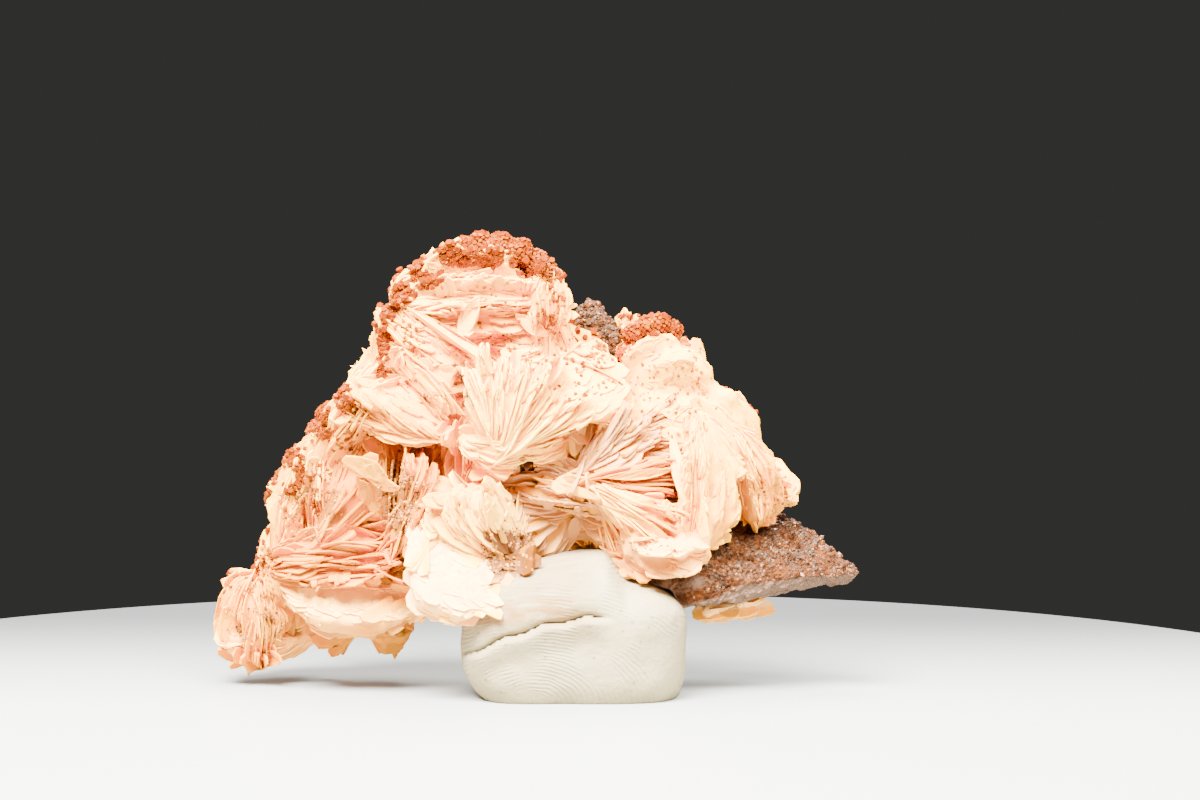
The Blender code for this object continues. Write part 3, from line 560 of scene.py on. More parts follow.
def grit_finish(name, dark, pale):
    """Small grains: each one's tone lies between a dark and a pale colour."""
    finish = Finish(name, Specular_IOR_Level=0.5)
    finish.set(Specular_Tint=(1.0, 0.70, 0.45))
    tone = finish.attribute("tone", "Fac")
    finish.set(Base_Color=finish.mix(tone, dark, pale), Roughness=(1 - tone) * 0.5 + 0.22)
    return finish.material


def putty_finish(settings):
    """Putty: matt and pale, with finger ridges, smears of orange and dark specks."""
    finish = Finish("putty", Specular_IOR_Level=0.25)
    place = finish.place()
    spread = finish.noise(place, 9.0, 2.0)
    whorl = finish.vector("MULTIPLY", place, (1.0, 0.25, 1.55))
    values = {"Vector": whorl, "Scale": 1 / settings.ridge_spacing / WAVE_TURN * MM}
    values.update(Distortion=3.5, Detail=1.0)
    rings = {"wave_type": "RINGS", "rings_direction": "Y"}
    ridges = finish.node("ShaderNodeTexWave", rings, values, output="Fac")
    printed = finish.noise(place, 7.0, 1.0).ramp(0.46, 0.56)
    smears = finish.noise(finish.vector("MULTIPLY", place, (0.25, 1.0, 1.2)), 1.6, 4.0, 0.6)
    height = finish.noise(place, 0.9, 4.0, 0.6)
    specks = (1 - finish.cells(place, 2.6)).ramp(0.86, 0.92)
    left_top = finish.attribute("smear", "Fac")
    colour = finish.mix(spread.ramp(0.35, 0.65), settings.shade_colour[:], settings.colour[:])
    colour = finish.mix(smears.ramp(0.30, 0.58) * left_top, colour, settings.smear_colour[:])
    colour = finish.mix(specks * 0.55, colour, settings.speck_colour[:])
    colour = finish.mix((1 - ridges) * printed * 0.08, colour, settings.speck_colour[:])
    finish.set(
        Base_Color=colour,
        Roughness=spread * 0.1 + 0.72,
        Normal=finish.bump(ridges * printed, 0.06, under=finish.bump(height, 0.16)),
    )
    return finish.material


def floor_finish(settings):
    """The pale round table, with painted shade that darkens it towards its far side, where less light falls.
    """
    finish = Finish("floor", Specular_IOR_Level=0.3)
    place = finish.place()
    away = finish.node("ShaderNodeSeparateXYZ", None, {"Vector": place}, output="Y")
    colour = finish.mix(away.ramp(-40, 115), settings.floor_colour[:], settings.far_shade_colour[:])
    finish.set(Base_Color=colour, Roughness=finish.noise(place, 2.0, 2.0) * 0.1 + 0.42)
    return finish.material


def mesh_of(name, shape):
    """Turns a bmesh into a mesh."""
    mesh = bpy.data.meshes.new(name)
    shape.to_mesh(mesh)
    shape.free()
    return mesh


def displace(shape, moves):
    for vert, move in zip(shape.verts, moves):
        vert.co += move


def shade_smooth(shape):
    for face in shape.faces:
        face.smooth = True


def finished_piece(name, shape, material, slot, *nodes):
    """Turns a bmesh in millimetres into a piece that rides on the specimen and stands for its nodes."""
    bmesh.ops.scale(shape, vec=(MM, MM, MM), verts=shape.verts)
    mesh = mesh_of(name, shape)
    mesh.materials.append(material)
    piece = bpy.data.objects.new(name, mesh)
    bpy.context.scene.collection.objects.link(piece)
    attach(piece, "root")
    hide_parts(*nodes)
    return piece


def add_copy(shape, template):
    """Adds a template mesh to a bmesh and returns its new vertices."""
    count = len(shape.verts)
    shape.from_mesh(template)
    shape.verts.ensure_lookup_table()
    return shape.verts[count:]


def remeshed(node, voxel):
    """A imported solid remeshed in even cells, as a bmesh in millimetres."""
    shape = bmesh.new()
    shape.from_mesh(frame["nodes"][node].data)
    bmesh.ops.remove_doubles(shape, verts=shape.verts, dist=1e-6)
    draft = bpy.data.objects.new("draft", mesh_of("draft", shape))
    bpy.context.scene.collection.objects.link(draft)
    remesh = draft.modifiers.new("fine", "REMESH")
    remesh.mode = "VOXEL"
    remesh.voxel_size = voxel
    depsgraph = bpy.context.evaluated_depsgraph_get()
    fine = bpy.data.meshes.new_from_object(draft.evaluated_get(depsgraph))
    bpy.data.objects.remove(draft)
    shape = bmesh.new()
    shape.from_mesh(fine)
    bmesh.ops.scale(shape, vec=(1 / MM, 1 / MM, 1 / MM), verts=shape.verts)
    return shape


def blade_template(rng, ragged, segments):
    """A blade on edge: x from -1 to 1 along it, its outer edge at y 0, its depth and half thickness 1."""
    shape = bmesh.new()
    bmesh.ops.create_circle(shape, cap_ends=True, segments=segments, radius=1.0)
    skew = rng.uniform(-0.2, 0.2)
    for vert in shape.verts:
        x, y = vert.co.x, vert.co.y
        if y > 0:
            rise = y**0.75 * (1 + skew * x) + rng.uniform(-ragged, ragged) * y
            vert.co = (x * 1.05 + rng.uniform(-0.06, 0.06), min(rise, 1.08) - 1, 0)
        else:
            vert.co = (x * 0.95, -1 - 0.3 * abs(y), 0)
    extruded = bmesh.ops.extrude_face_region(shape, geom=shape.faces[:])
    top = [item for item in extruded["geom"] if isinstance(item, bmesh.types.BMVert)]
    bmesh.ops.translate(shape, verts=shape.verts, vec=(0, 0, -1))
    bmesh.ops.translate(shape, verts=top, vec=(0, 0, 2))
    bmesh.ops.recalc_face_normals(shape, faces=shape.faces)
    return mesh_of("blade_template", shape)


class Fan:
    """A spray's own directions, for finding how its blades run at a place."""

    def __init__(self, number, name, spray):
        self.flat = name in FLAT_SPRAYS
        self.smoothness = SMOOTHNESS.get(name, 0.0)
        self.number = number
        self.spray = spray
        self.root = Vector(spray.root)
        self.out = Vector(spray.out).normalized()
        spine = Vector(spray.spine)
        self.spine = (spine - self.out * spine.dot(self.out)).normalized()
        self.side = self.spine.cross(self.out)
        self.spread = math.radians(spray.spread)

    def locate(self, spot):
        """The place along the spine, the distance from it, and the angle off the middle page."""
        way = spot - self.root
        ahead, aside = way.dot(self.out), way.dot(self.side)
        return way.dot(self.spine), math.hypot(ahead, aside), math.atan2(aside, ahead)

    def directions(self, spot):
        """Where a place is along the spine and round it, the way out, and the blades' flat side."""
        along, _, angle = self.locate(spot)
        radial = self.out * math.cos(angle) + self.side * math.sin(angle)
        return along, angle, radial, self.spine.cross(radial)

    def misfit(self, spot):
        """How far a place is from the spray."""
        along, distance, angle = self.locate(spot)
        beside = max(0.0, abs(along) - self.spray.breadth / 2)
        turned = max(0.0, abs(angle) - self.spread / 2) * distance
        beyond = max(0.0, distance - self.spray.reach)
        return beside + turned + beyond * 1.5 + distance * 0.05


class BladeMaker:
    """Lays blades over a surface, along the nearest sprays, with the attributes that their finish reads."""

    def __init__(self, settings, rng, sprays, tree):
        self.settings = settings
        self.rng = rng
        self.tree = tree
        self.fans = [Fan(number, name, sprays[name]) for number, name in enumerate(sprays)]
        self.shape = bmesh.new()
        self.reach = self.shape.verts.layers.float.new("reach")
        self.tint = self.shape.verts.layers.float_color.new("tint")
        self.grain = self.shape.verts.layers.float_vector.new("grain")
        ragged = settings.raggedness
        self.templates = [blade_template(rng, ragged, BLADE_CORNERS) for _ in range(BLADE_TEMPLATES)]
        self.pages = [blade_template(rng, ragged / 2, PAGE_CORNERS) for _ in range(PAGE_TEMPLATES)]
        self.count = 0

    def stain_or_shade_at(self, spot):
        """The tint of the strongest stain or painted shade at a place, with its strength and how far it sinks
        the blades.
        """
        best = ("white", 0.0, 0.0)
        for stain_or_shade in STAINS_AND_SHADES.values():
            across = (spot.x - stain_or_shade.middle[0]) / stain_or_shade.half[0]
            up = (spot.z - stain_or_shade.middle[1]) / stain_or_shade.half[1]
            room = 1 - across * across - up * up + 0.5 * noise.noise(spot / 1.7)
            if room > 0 and room**0.5 * stain_or_shade.strength > best[1]:
                strength = min(1.0, room**0.5 * 1.3) * stain_or_shade.strength
                best = (stain_or_shade.tint, strength, stain_or_shade.sink * min(1.0, room))
        return best

    def fan_at(self, spot):
        blurred = spot + noise.noise_vector(spot / 4) * 1.9
        return min(self.fans, key=lambda fan: fan.misfit(blurred))

    def tint_at(self, spot, fan, tone, streak):
        """The colour at a place, and how far the stain or painted shade there sinks the blades."""
        tint_name, strength, sink = self.stain_or_shade_at(spot) if spot.y < 8 else ("white", 0.0, 0.0)
        base = Vector(TINTS[fan.spray.tint]).lerp(Vector(TINTS["amber"]), streak)
        base = base.lerp(Vector(TINTS[tint_name]), strength)
        return [min(0.98, channel * tone) for channel in base], sink

    def lay(self, spot, normal, room=9.0, page=False):
        """Lays a blade whose outer edge runs along the surface, no longer than there is room for. A page
        is a long blade that stands out from the rest."""
        rng = self.rng
        fan = self.fan_at(spot)
        along, angle, radial, flat = fan.directions(spot)
        across = angle * fan.spray.reach * 0.7 + fan.number * 31.7
        bundle = noise.noise(Vector((across / 2.4, fan.number, along / 14)))
        fine = noise.noise(Vector((across / 0.8, fan.number + 9, along / 6)))
        streak = noise.noise(Vector((across / 0.9, fan.number + 20, along / 8)))
        flat = Matrix.Rotation(0.30 * bundle + rng.uniform(-0.05, 0.05), 3, normal) @ flat
        flat = Matrix.Rotation(0.16 * fine, 3, radial) @ flat
        outward = normal - flat * normal.dot(flat)
        tone = rng.uniform(0.88, 1.06) * (1 + 0.10 * bundle)
        streak = 0.5 * smooth_step(0.05, 0.5, streak) * (1 - fan.smoothness)
        tint, sink = self.tint_at(spot, fan, tone, streak)
        rise = self.settings.rise / MM + 0.85 * bundle + 0.3 * fine
        rise = rise + rng.uniform(-0.2, 0.35) - sink
        rise -= 0.75 * fan.smoothness * (rise + 0.3)
        thick = self.settings.thickness / MM / 2 * rng.uniform(0.6, 1.3)
        if outward.length < STEEP_ENOUGH:
            if not page:
                self.lay_flat(spot, normal, radial, rise, thick, tint, fan.flat)
            return
        outward.normalize()
        edge = flat.cross(outward)
        lean = 0.9 * noise.noise(Vector((across / 5.0, fan.number + 40, along / 20))) + 0.14 * fine
        cos, sin = math.cos(lean), math.sin(lean)
        outward, flat = outward * cos + flat * sin, flat * cos - outward * sin
        steep = abs(edge.dot(radial))
        half = rng.uniform(1.8, 5.0) * (0.6 + 0.4 * steep)
        half *= 0.75 + 0.25 * min(2.0, fan.spray.breadth / 12)
        if page:
            if fan.flat or rng.random() < fan.smoothness:
                return
            half = rng.uniform(3.6, 6.8) * (0.7 + 0.3 * steep)
            rise += 0.4
            thick *= 1.25
        half = min(half, room)
        while half > SHORTEST_HALF and min(self.drops(spot, edge * half, outward, (-1, 1))) < OVERHANG:
            half *= 0.75
        flare = 0.4 * edge.dot(radial)
        places = (-1, -0.5, 0, 0.5, 1)
        drops = self.drops(spot, edge * half, outward, places)
        drops = [drop + flare * place for drop, place in zip(drops, places)]
        depth = self.settings.depth / MM
        curl = rng.uniform(-0.25, 0.25)
        self.count += 1
        for vert in self.copy(self.pages if page else self.templates):
            x, y, z = vert.co
            height = rise + y * depth + between(drops, x / 2 + 0.5)
            sideways = z * thick * (0.45 - 0.55 * y) + curl * x * x
            vert.co = spot + edge * (half * x) + outward * height + flat * sideways
            vert.co += noise.noise_vector(vert.co / 5.0) * self.settings.waviness / MM
            self.mark(vert, 1 + y, tint, (half * x, y * depth))

    def leaf(self, feature):
        """Lays one of the listed leaves, its flat side to the viewer."""
        ends = [Vector((feature.start[0], 0, feature.start[1])), Vector((feature.end[0], 0, feature.end[1]))]
        spots = []
        for place in (0, 0.25, 0.5, 0.75, 1):
            spot = ends[0].lerp(ends[1], place)
            seen = self.tree.ray_cast(spot - Vector((0, 80, 0)), Vector((0, 1, 0)))[0]
            spots.append(seen or self.tree.find_nearest(spot)[0])
        along = spots[-1] - spots[0]
        across = Vector((0, -1, 0)).cross(along).normalized()
        normal = along.cross(across).normalized()
        straight = [spots[0].lerp(spots[-1], n / 4) for n in range(5)]
        heights = [(spot - level).dot(normal) for spot, level in zip(spots, straight)]
        thick = self.settings.thickness / MM / 2
        tint, _ = self.tint_at(spots[2], self.fan_at(spots[2]), 1.0, 0.0)
        tint = Vector(tint).lerp(Vector(TINTS[feature.tint]), 0.8)
        self.count += 1
        for vert in self.copy(self.pages):
            x, y, z = vert.co
            height = feature.rise + between(heights, x / 2 + 0.5) * (1 - 0.4 * x * x)
            height = height + z * thick - 0.8 * (y + 0.5) ** 2
            width = feature.half * (2 * y + 1) * (1.1 - 0.6 * abs(x - 0.1) ** 1.5)
            vert.co = spots[0].lerp(spots[-1], x / 2 + 0.5) + across * width + normal * height
            self.mark(vert, 0.9 - 0.5 * abs(y + 0.5), tint, (feature.half * y, 4 * x))

    def drops(self, spot, edge, outward, places):
        """How far outward the surface lies from places along a blade's edge."""
        spots = [spot + edge * place for place in places]
        ways = [(self.tree.find_nearest(spot)[0] - spot).dot(outward) for spot in spots]
        return [max(DEEPEST_DROP, min(HIGHEST_RISE, way)) for way in ways]

    def lay_flat(self, spot, normal, radial, rise, thick, tint, broad):
        """Lays a blade almost flat on the surface, where a spray turns its flat side out."""
        rng = self.rng
        ahead = radial - normal * radial.dot(normal)
        if ahead.length < 0.1:
            return
        ahead = Matrix.Rotation(rng.uniform(-0.25, 0.25), 3, normal) @ ahead.normalized()
        across = normal.cross(ahead)
        half = rng.uniform(1.5, 3.4) if broad else rng.uniform(0.45, 1.3)
        length = rng.uniform(2.4, 4.6) if broad else rng.uniform(2.4, 5.2)
        tilt = rng.uniform(0.02, 0.09) if broad else rng.uniform(0.03, 0.18)
        height = min(rise, 0.6) * 0.6
        self.count += 1
        for vert in self.copy(self.templates):
            x, y, z = vert.co
            ahead_by = length * (y * 0.9 + 0.4)
            out_by = height + tilt * ahead_by - 0.35 * x * x + z * thick * (0.6 - 0.4 * y)
            vert.co = spot + across * (half * x) + ahead * ahead_by + normal * out_by
            self.mark(vert, 0.95 + 0.15 * y, tint, (length * y, half * x))

    def copy(self, templates):
        return add_copy(self.shape, self.rng.choice(templates))

    def mark(self, vert, reach, tint, grain):
        vert[self.reach] = reach
        vert[self.tint] = (*tint, 1.0)
        vert[self.grain] = (*grain, self.count * 3.7)


def back_depth(x, z):
    """How far back the core reaches at a place, or None beside the core."""
    depths = []
    for centre, half in CORE_LUMPS.values():
        room = 1 - ((x - centre[0]) / half[0]) ** 2 - ((z - centre[2]) / half[2]) ** 2
        if room > 0.12:
            depths.append(centre[1] + half[1] * math.sqrt(room))
    return max(depths) if depths else None


def back_sprays(rng):
    """Domed sprays over the back, each facing out from the core."""
    sprays = []
    row = 0
    z = BACK_LOW
    while z < BACK_HIGH:
        x = BACK_LEFT + (row % 2) * BACK_SPACING / 2
        while x < BACK_RIGHT:
            depth = back_depth(x, z)
            if depth is not None:
                out = Vector((x, depth, z)) - Vector(BACK_HUB)
                out = Vector((out.x / 2, out.y, out.z / 2)).normalized()
                turn = rng.uniform(0, math.pi)
                spine = Vector((math.cos(turn), 0, math.sin(turn)))
                root = Vector((x, depth, z)) - out * BACK_SINK
                reach = BACK_REACH * rng.uniform(0.9, 1.1)
                tint = rng.choice(("cream", "peach", "white", "pink"))
                sprays.append(Spray(root, out, spine, reach, BACK_BREADTH, BACK_SPREAD, tint))
            x += BACK_SPACING
        z += BACK_SPACING * 0.85
        row += 1
    return sprays


def between(values, share):
    """A value from an evenly spaced row, at a share of the way along it."""
    place = min(max(share, 0.0), 1.0) * (len(values) - 1)
    n = min(int(place), len(values) - 2)
    return values[n] + (values[n + 1] - values[n]) * (place - n)


def smooth_step(low, high, value):
    """0 at low, 1 at high, and smooth between; low may be the larger."""
    share = min(1.0, max(0.0, (value - low) / (high - low)))
    return share * share * (3 - 2 * share)


def settings_of(name):
    return getattr(bpy.context.scene, "specimen_" + name)


def length(name, description, default):
    return bpy.props.FloatProperty(
        name=name, description=description, default=default, unit="LENGTH", precision=5
    )


def colour(name, description, default):
    return bpy.props.FloatVectorProperty(
        name=name, description=description, default=default, subtype="COLOR"
    )


class BladeSettings(bpy.types.PropertyGroup):
    """Sizes and colours of the barite."""

    thickness: length("Thickness", "Thickness of a blade at its root", 0.46 * MM)
    depth: length("Depth", "How deep a blade goes into the surface", 2.3 * MM)
    rise: length("Rise", "How far a blade's edge stands over the surface", 0.44 * MM)
    density: bpy.props.FloatProperty(
        name="Density", description="Blades to a square millimetre", default=0.36
    )
    page_density: bpy.props.FloatProperty(
        name="Page density", description="Long blades that stand out, to a square millimetre", default=0.07
    )
    voxel: length("Voxel", "Width of the cells that the solid is remeshed in", 0.8 * MM)
    evening: bpy.props.IntProperty(
        name="Evening", description="How often the remeshed surface is smoothed", default=5
    )
    backing_depth: length("Backing depth", "How far the surface behind the blades is drawn in", 0.6 * MM)
    raggedness: bpy.props.FloatProperty(
        name="Raggedness", description="How uneven a blade's outline is", default=0.13, min=0.0, max=0.5
    )
    waviness: length("Waviness", "How far the blades are bent out of plane", 0.5 * MM)
    # The stain set here is partly iron stain and partly painted shade, deepest down between the blades.
    stain_and_shade_start: bpy.props.FloatProperty(
        name="Stain start", default=0.22,
        description="Share of a blade's reach below which it is fully stained",
    )
    stain_and_shade_end: bpy.props.FloatProperty(
        name="Stain end", description="Share of a blade's reach above which it is clean", default=0.72
    )
    stain_and_shade_colour: colour("Stain", "Colour of the stain down between the blades", (1.0, 0.80, 0.0))
    rust_colour: colour("Rust", "Colour of the rusty patches", (0.40, 0.10, 0.01))
    dot_colour: colour("Dots", "Colour of the smallest yellow grains", (0.90, 0.36, 0.02))


class CrystalSettings(bpy.types.PropertyGroup):
    """Sizes and colours of the vanadinite."""

    half_width: length("Half width", "Half the width of a crystal in a crust", 0.46 * MM)
    dark_colour: colour("Dark", "Colour of the deepest crystals", (0.12, 0.015, 0.0))
    main_colour: colour("Main", "Colour of most crystals", (0.135, 0.022, 0.0))
    light_colour: colour("Light", "Colour of the lighter crystals", (0.20, 0.042, 0.0))
    pale_colour: colour("Pale", "Colour of the palest crystals", (0.42, 0.13, 0.0))


class RockSettings(bpy.types.PropertyGroup):
    """Sizes and colours of the rock and its grains."""

    voxel: length("Voxel", "Width of the cells that the rock is remeshed in", 0.55 * MM)
    dark_colour: colour("Dark", "Colour of the darkest grains", (0.010, 0.003, 0.001))
    brown_colour: colour("Brown", "Colour of most grains", (0.045, 0.012, 0.003))
    tan_colour: colour("Tan", "Colour of the palest grains", (0.095, 0.027, 0.005))
    rust_colour: colour("Rust", "Colour of the rusty patches", (0.11, 0.028, 0.004))
    grey_colour: colour("Grey", "Colour of the broken underside", (0.070, 0.040, 0.026))
    mauve_colour: colour("Mauve", "Second colour of the broken underside", (0.19, 0.108, 0.066))
    grit_dark_colour: colour("Dark grit", "Colour of the darkest grit in the hollows", (0.045, 0.012, 0.003))
    grit_colour: colour("Grit", "Colour of the palest grit in the hollows", (0.50, 0.18, 0.03))


class PuttySettings(bpy.types.PropertyGroup):
    """Sizes and colours of the putty."""

    ridge_spacing: length("Ridge spacing", "From one finger ridge to the next", 0.46 * MM)
    colour: colour("Colour", "The putty's main colour", (0.30, 0.245, 0.13))
    shade_colour: colour("Shade", "The putty's second colour", (0.255, 0.20, 0.10))
    smear_colour: colour("Smears", "Colour of the orange smears", (0.22, 0.11, 0.032))
    speck_colour: colour("Specks", "Colour of the dark specks", (0.09, 0.08, 0.07))


class StageSettings(bpy.types.PropertyGroup):
    """The floor, the lights and the camera."""

    table_radius: length("Table radius", "Radius of the pale round table", 150 * MM)
    floor_colour: colour("Floor", "Colour of the table", (0.28, 0.285, 0.26))
    # Far floor: painted shade, the table darkened away from the lights.
    far_shade_colour: colour("Far floor", "Colour of the table's far side", (0.042, 0.043, 0.042))
    camera_place: bpy.props.FloatVectorProperty(
        name="Camera", description="Where the camera stands", default=(0.011, -0.620, 0.085),
        subtype="TRANSLATION", unit="LENGTH",
    )
    camera_dip: bpy.props.FloatProperty(
        name="Dip", description="How far the camera looks down", default=math.radians(3.26), subtype="ANGLE"
    )
    lens: bpy.props.FloatProperty(
        name="Lens", description="Focal length of the camera in millimetres", default=109.1
    )
    key_power: bpy.props.FloatProperty(
        name="Key light", description="Power of the large light at the upper left", default=126.0,
        unit="POWER",
    )
    fill_power: bpy.props.FloatProperty(
        name="Fill light", description="Power of the light at the right", default=46.0, unit="POWER"
    )
    ambient: bpy.props.FloatProperty(
        name="Ambient", description="Strength of the light that comes from all round", default=0.9
    )


class SPECIMEN_OT_barite(bpy.types.Operator):
    """Builds the barite's core and its sprays of blades, front and back"""

    bl_idname = "specimen.barite"
    bl_label = "Barite blades"

    def execute(self, context):
        noise.seed_set(NOISE_SEED)
        settings = settings_of("blades")
        material = barite_finish(settings)
        main = remeshed("barite_blades", settings.voxel)
        hanging = remeshed("barite_under_rock", settings.voxel / 2)
        for shape in (main, hanging):
            for _ in range(settings.evening):
                bmesh.ops.smooth_vert(
                    shape, verts=shape.verts, factor=0.5, use_axis_x=True, use_axis_y=True, use_axis_z=True
                )
        tree = BVHTree.FromBMesh(main)
        regions = {
            "barite_upper": lambda place, normal: normal.y < FRONT_LIMIT and place.z >= UPPER_FROM,
            "barite_lower": lambda place, normal: normal.y < FRONT_LIMIT and place.z < UPPER_FROM,
            "barite_back": lambda place, normal: normal.y >= FRONT_LIMIT,
        }
        behind = enumerate(back_sprays(random.Random(SPRAY_SEED)))
        sprays = FRONT_SPRAYS | {"back_%d" % n: spray for n, spray in behind}
        clumps = [place for places in CRUSTS.values() for place in places]
        for name, inside in regions.items():
            rng = random.Random(name)
            faces = [face for face in main.faces if inside(face.calc_center_median(), face.normal)]
            areas = [face.calc_area() for face in faces]
            maker = BladeMaker(settings, rng, sprays, tree)
            count = round(sum(areas) * settings.density)
            pages = round(sum(areas) * settings.page_density)
            for n, face in enumerate(rng.choices(faces, weights=areas, k=count + pages)):
                middle = face.calc_center_median()
                spot = middle + noise.noise_vector(middle * 9) * 0.3
                gap = min((spot - Vector(clump[:3])).length - clump[3] for clump in clumps)
                if gap > 0.7:
                    maker.lay(spot, face.normal, gap + 0.4, n >= count)
            for leaf in LEAVES.values():
                if name == ("barite_upper" if leaf.start[1] >= UPPER_FROM else "barite_lower"):
                    maker.leaf(leaf)
            finished_piece(name, maker.shape, material, "barite", "barite_blades")
        rng_hanging = random.Random("hanging")
        maker = BladeMaker(settings, rng_hanging, HANGING_SPRAYS, BVHTree.FromBMesh(hanging))
        areas = [face.calc_area() for face in hanging.faces]
        for face in rng_hanging.choices(hanging.faces[:], weights=areas, k=HANGING_BLADES):
            maker.lay(face.calc_center_median(), face.normal)
        finished_piece("barite_hanging", maker.shape, material, "barite", "barite_under_rock")
        self.backing("barite_hanging_core", hanging, maker, material, "barite_under_rock")
        maker = BladeMaker(settings, rng, sprays, tree)
        self.backing("barite_core", main, maker, material, "barite_blades")
        return {"FINISHED"}

    def backing(self, name, shape, maker, material, node):
        """The evened surface drawn in: what shows down in the gaps, and between blades that lie flat."""
        reach = shape.verts.layers.float.new("reach")
        tint = shape.verts.layers.float_color.new("tint")
        grain = shape.verts.layers.float_vector.new("grain")
        moves = []
        for vert in shape.verts:
            fan = maker.fan_at(vert.co)
            _, _, radial, flat = fan.directions(vert.co)
            level = smooth_step(0.70, 0.95, abs(vert.normal.dot(flat)))
            colour, sink = maker.tint_at(vert.co, fan, 1.0, 0.0)
            level = max(level * 0.7, fan.smoothness)
            depth = maker.settings.backing_depth / MM * (1 - level) - 0.15 * level + sink * 0.7
            depth -= level * 0.5 * noise.noise(vert.co / 2.6)
            moves.append(vert.normal * -depth + noise.noise_vector(vert.co / 1.3) * 0.3)
            # A low reach gives the drawn-in surface the stain and painted shade of the gaps; level places
            # stay cleaner.
            vert[reach] = 0.15 + 0.3 * noise.noise(vert.co / 3.0) + 0.65 * level
            vert[tint] = (*colour, 1.0)
            vert[grain] = (vert.co.dot(radial), vert.co.dot(flat) * 0.3, vert.co.dot(fan.spine))
        displace(shape, moves)
        shade_smooth(shape)
        finished_piece(name, shape, material, "barite", node)


def crystal_template():
    """A short six-sided prism of unit half width."""
    shape = bmesh.new()
    bmesh.ops.create_cone(shape, cap_ends=True, segments=6, radius1=1.0, radius2=0.85, depth=1.7)
    return mesh_of("crystal_template", shape)


def grain_template(rng):
    """A blunt uneven grain of about unit half width."""
    shape = bmesh.new()
    bmesh.ops.create_icosphere(shape, subdivisions=1, radius=1.0)
    for vert in shape.verts:
        vert.co *= rng.uniform(0.65, 1.2)
    return mesh_of("grain_template", shape)


def tipped(direction, most, rng):
    """A direction, tipped at random."""
    return (direction + Vector([rng.uniform(-most, most) for _ in range(3)])).normalized()


def lay(shape, template, tone_layer, place, direction, size, tone, rng):
    """Adds one crystal or grain, its axis along a direction."""
    upright = direction.to_track_quat("Z", "Y").to_matrix()
    turn = upright @ Matrix.Rotation(rng.uniform(0, math.tau), 3, "Z")
    matrix = turn @ Matrix.Diagonal((size, size, size * rng.uniform(0.75, 1.25)))
    for vert in add_copy(shape, template):
        vert.co = place + matrix @ vert.co
        vert[tone_layer] = tone


class Surface:
    """The surface of several pieces, for finding where a straight line meets them."""

    def __init__(self, *names):
        depsgraph = bpy.context.evaluated_depsgraph_get()
        self.trees = [BVHTree.FromObject(bpy.data.objects[name], depsgraph) for name in names]

    def meet(self, start, along):
        """The first place and normal that a line meets, in millimetres, or None."""
        best = None
        for tree in self.trees:
            place, normal, _, distance = tree.ray_cast(start * MM, along)
            if place is not None and (best is None or distance < best[2]):
                best = (place / MM, normal, distance)
        return best[:2] if best else None


def spots_of(patch, surface, rng):
    """Places and normals over one patch of the surface, gathered in drifts."""
    along = Vector(patch.along)
    across = Vector((0, 0, 1)).cross(along) if abs(along.z) < 0.5 else Vector((1, 0, 0))
    up = along.cross(across)
    spots = []
    tries = 0
    while len(spots) < patch.count and tries < patch.count * TRIES:
        tries += 1
        radius, turn = math.sqrt(rng.random()), rng.uniform(0, math.tau)
        place = Vector(patch.centre) + across * patch.half[0] * radius * math.cos(turn)
        place += up * patch.half[1] * radius * math.sin(turn)
        if noise.noise(place / 3.2) + rng.uniform(-0.25, 0.35) < 0:
            continue
        found = surface.meet(place - along * FAR_OFF, along)
        if found:
            spots.append(found)
    return spots


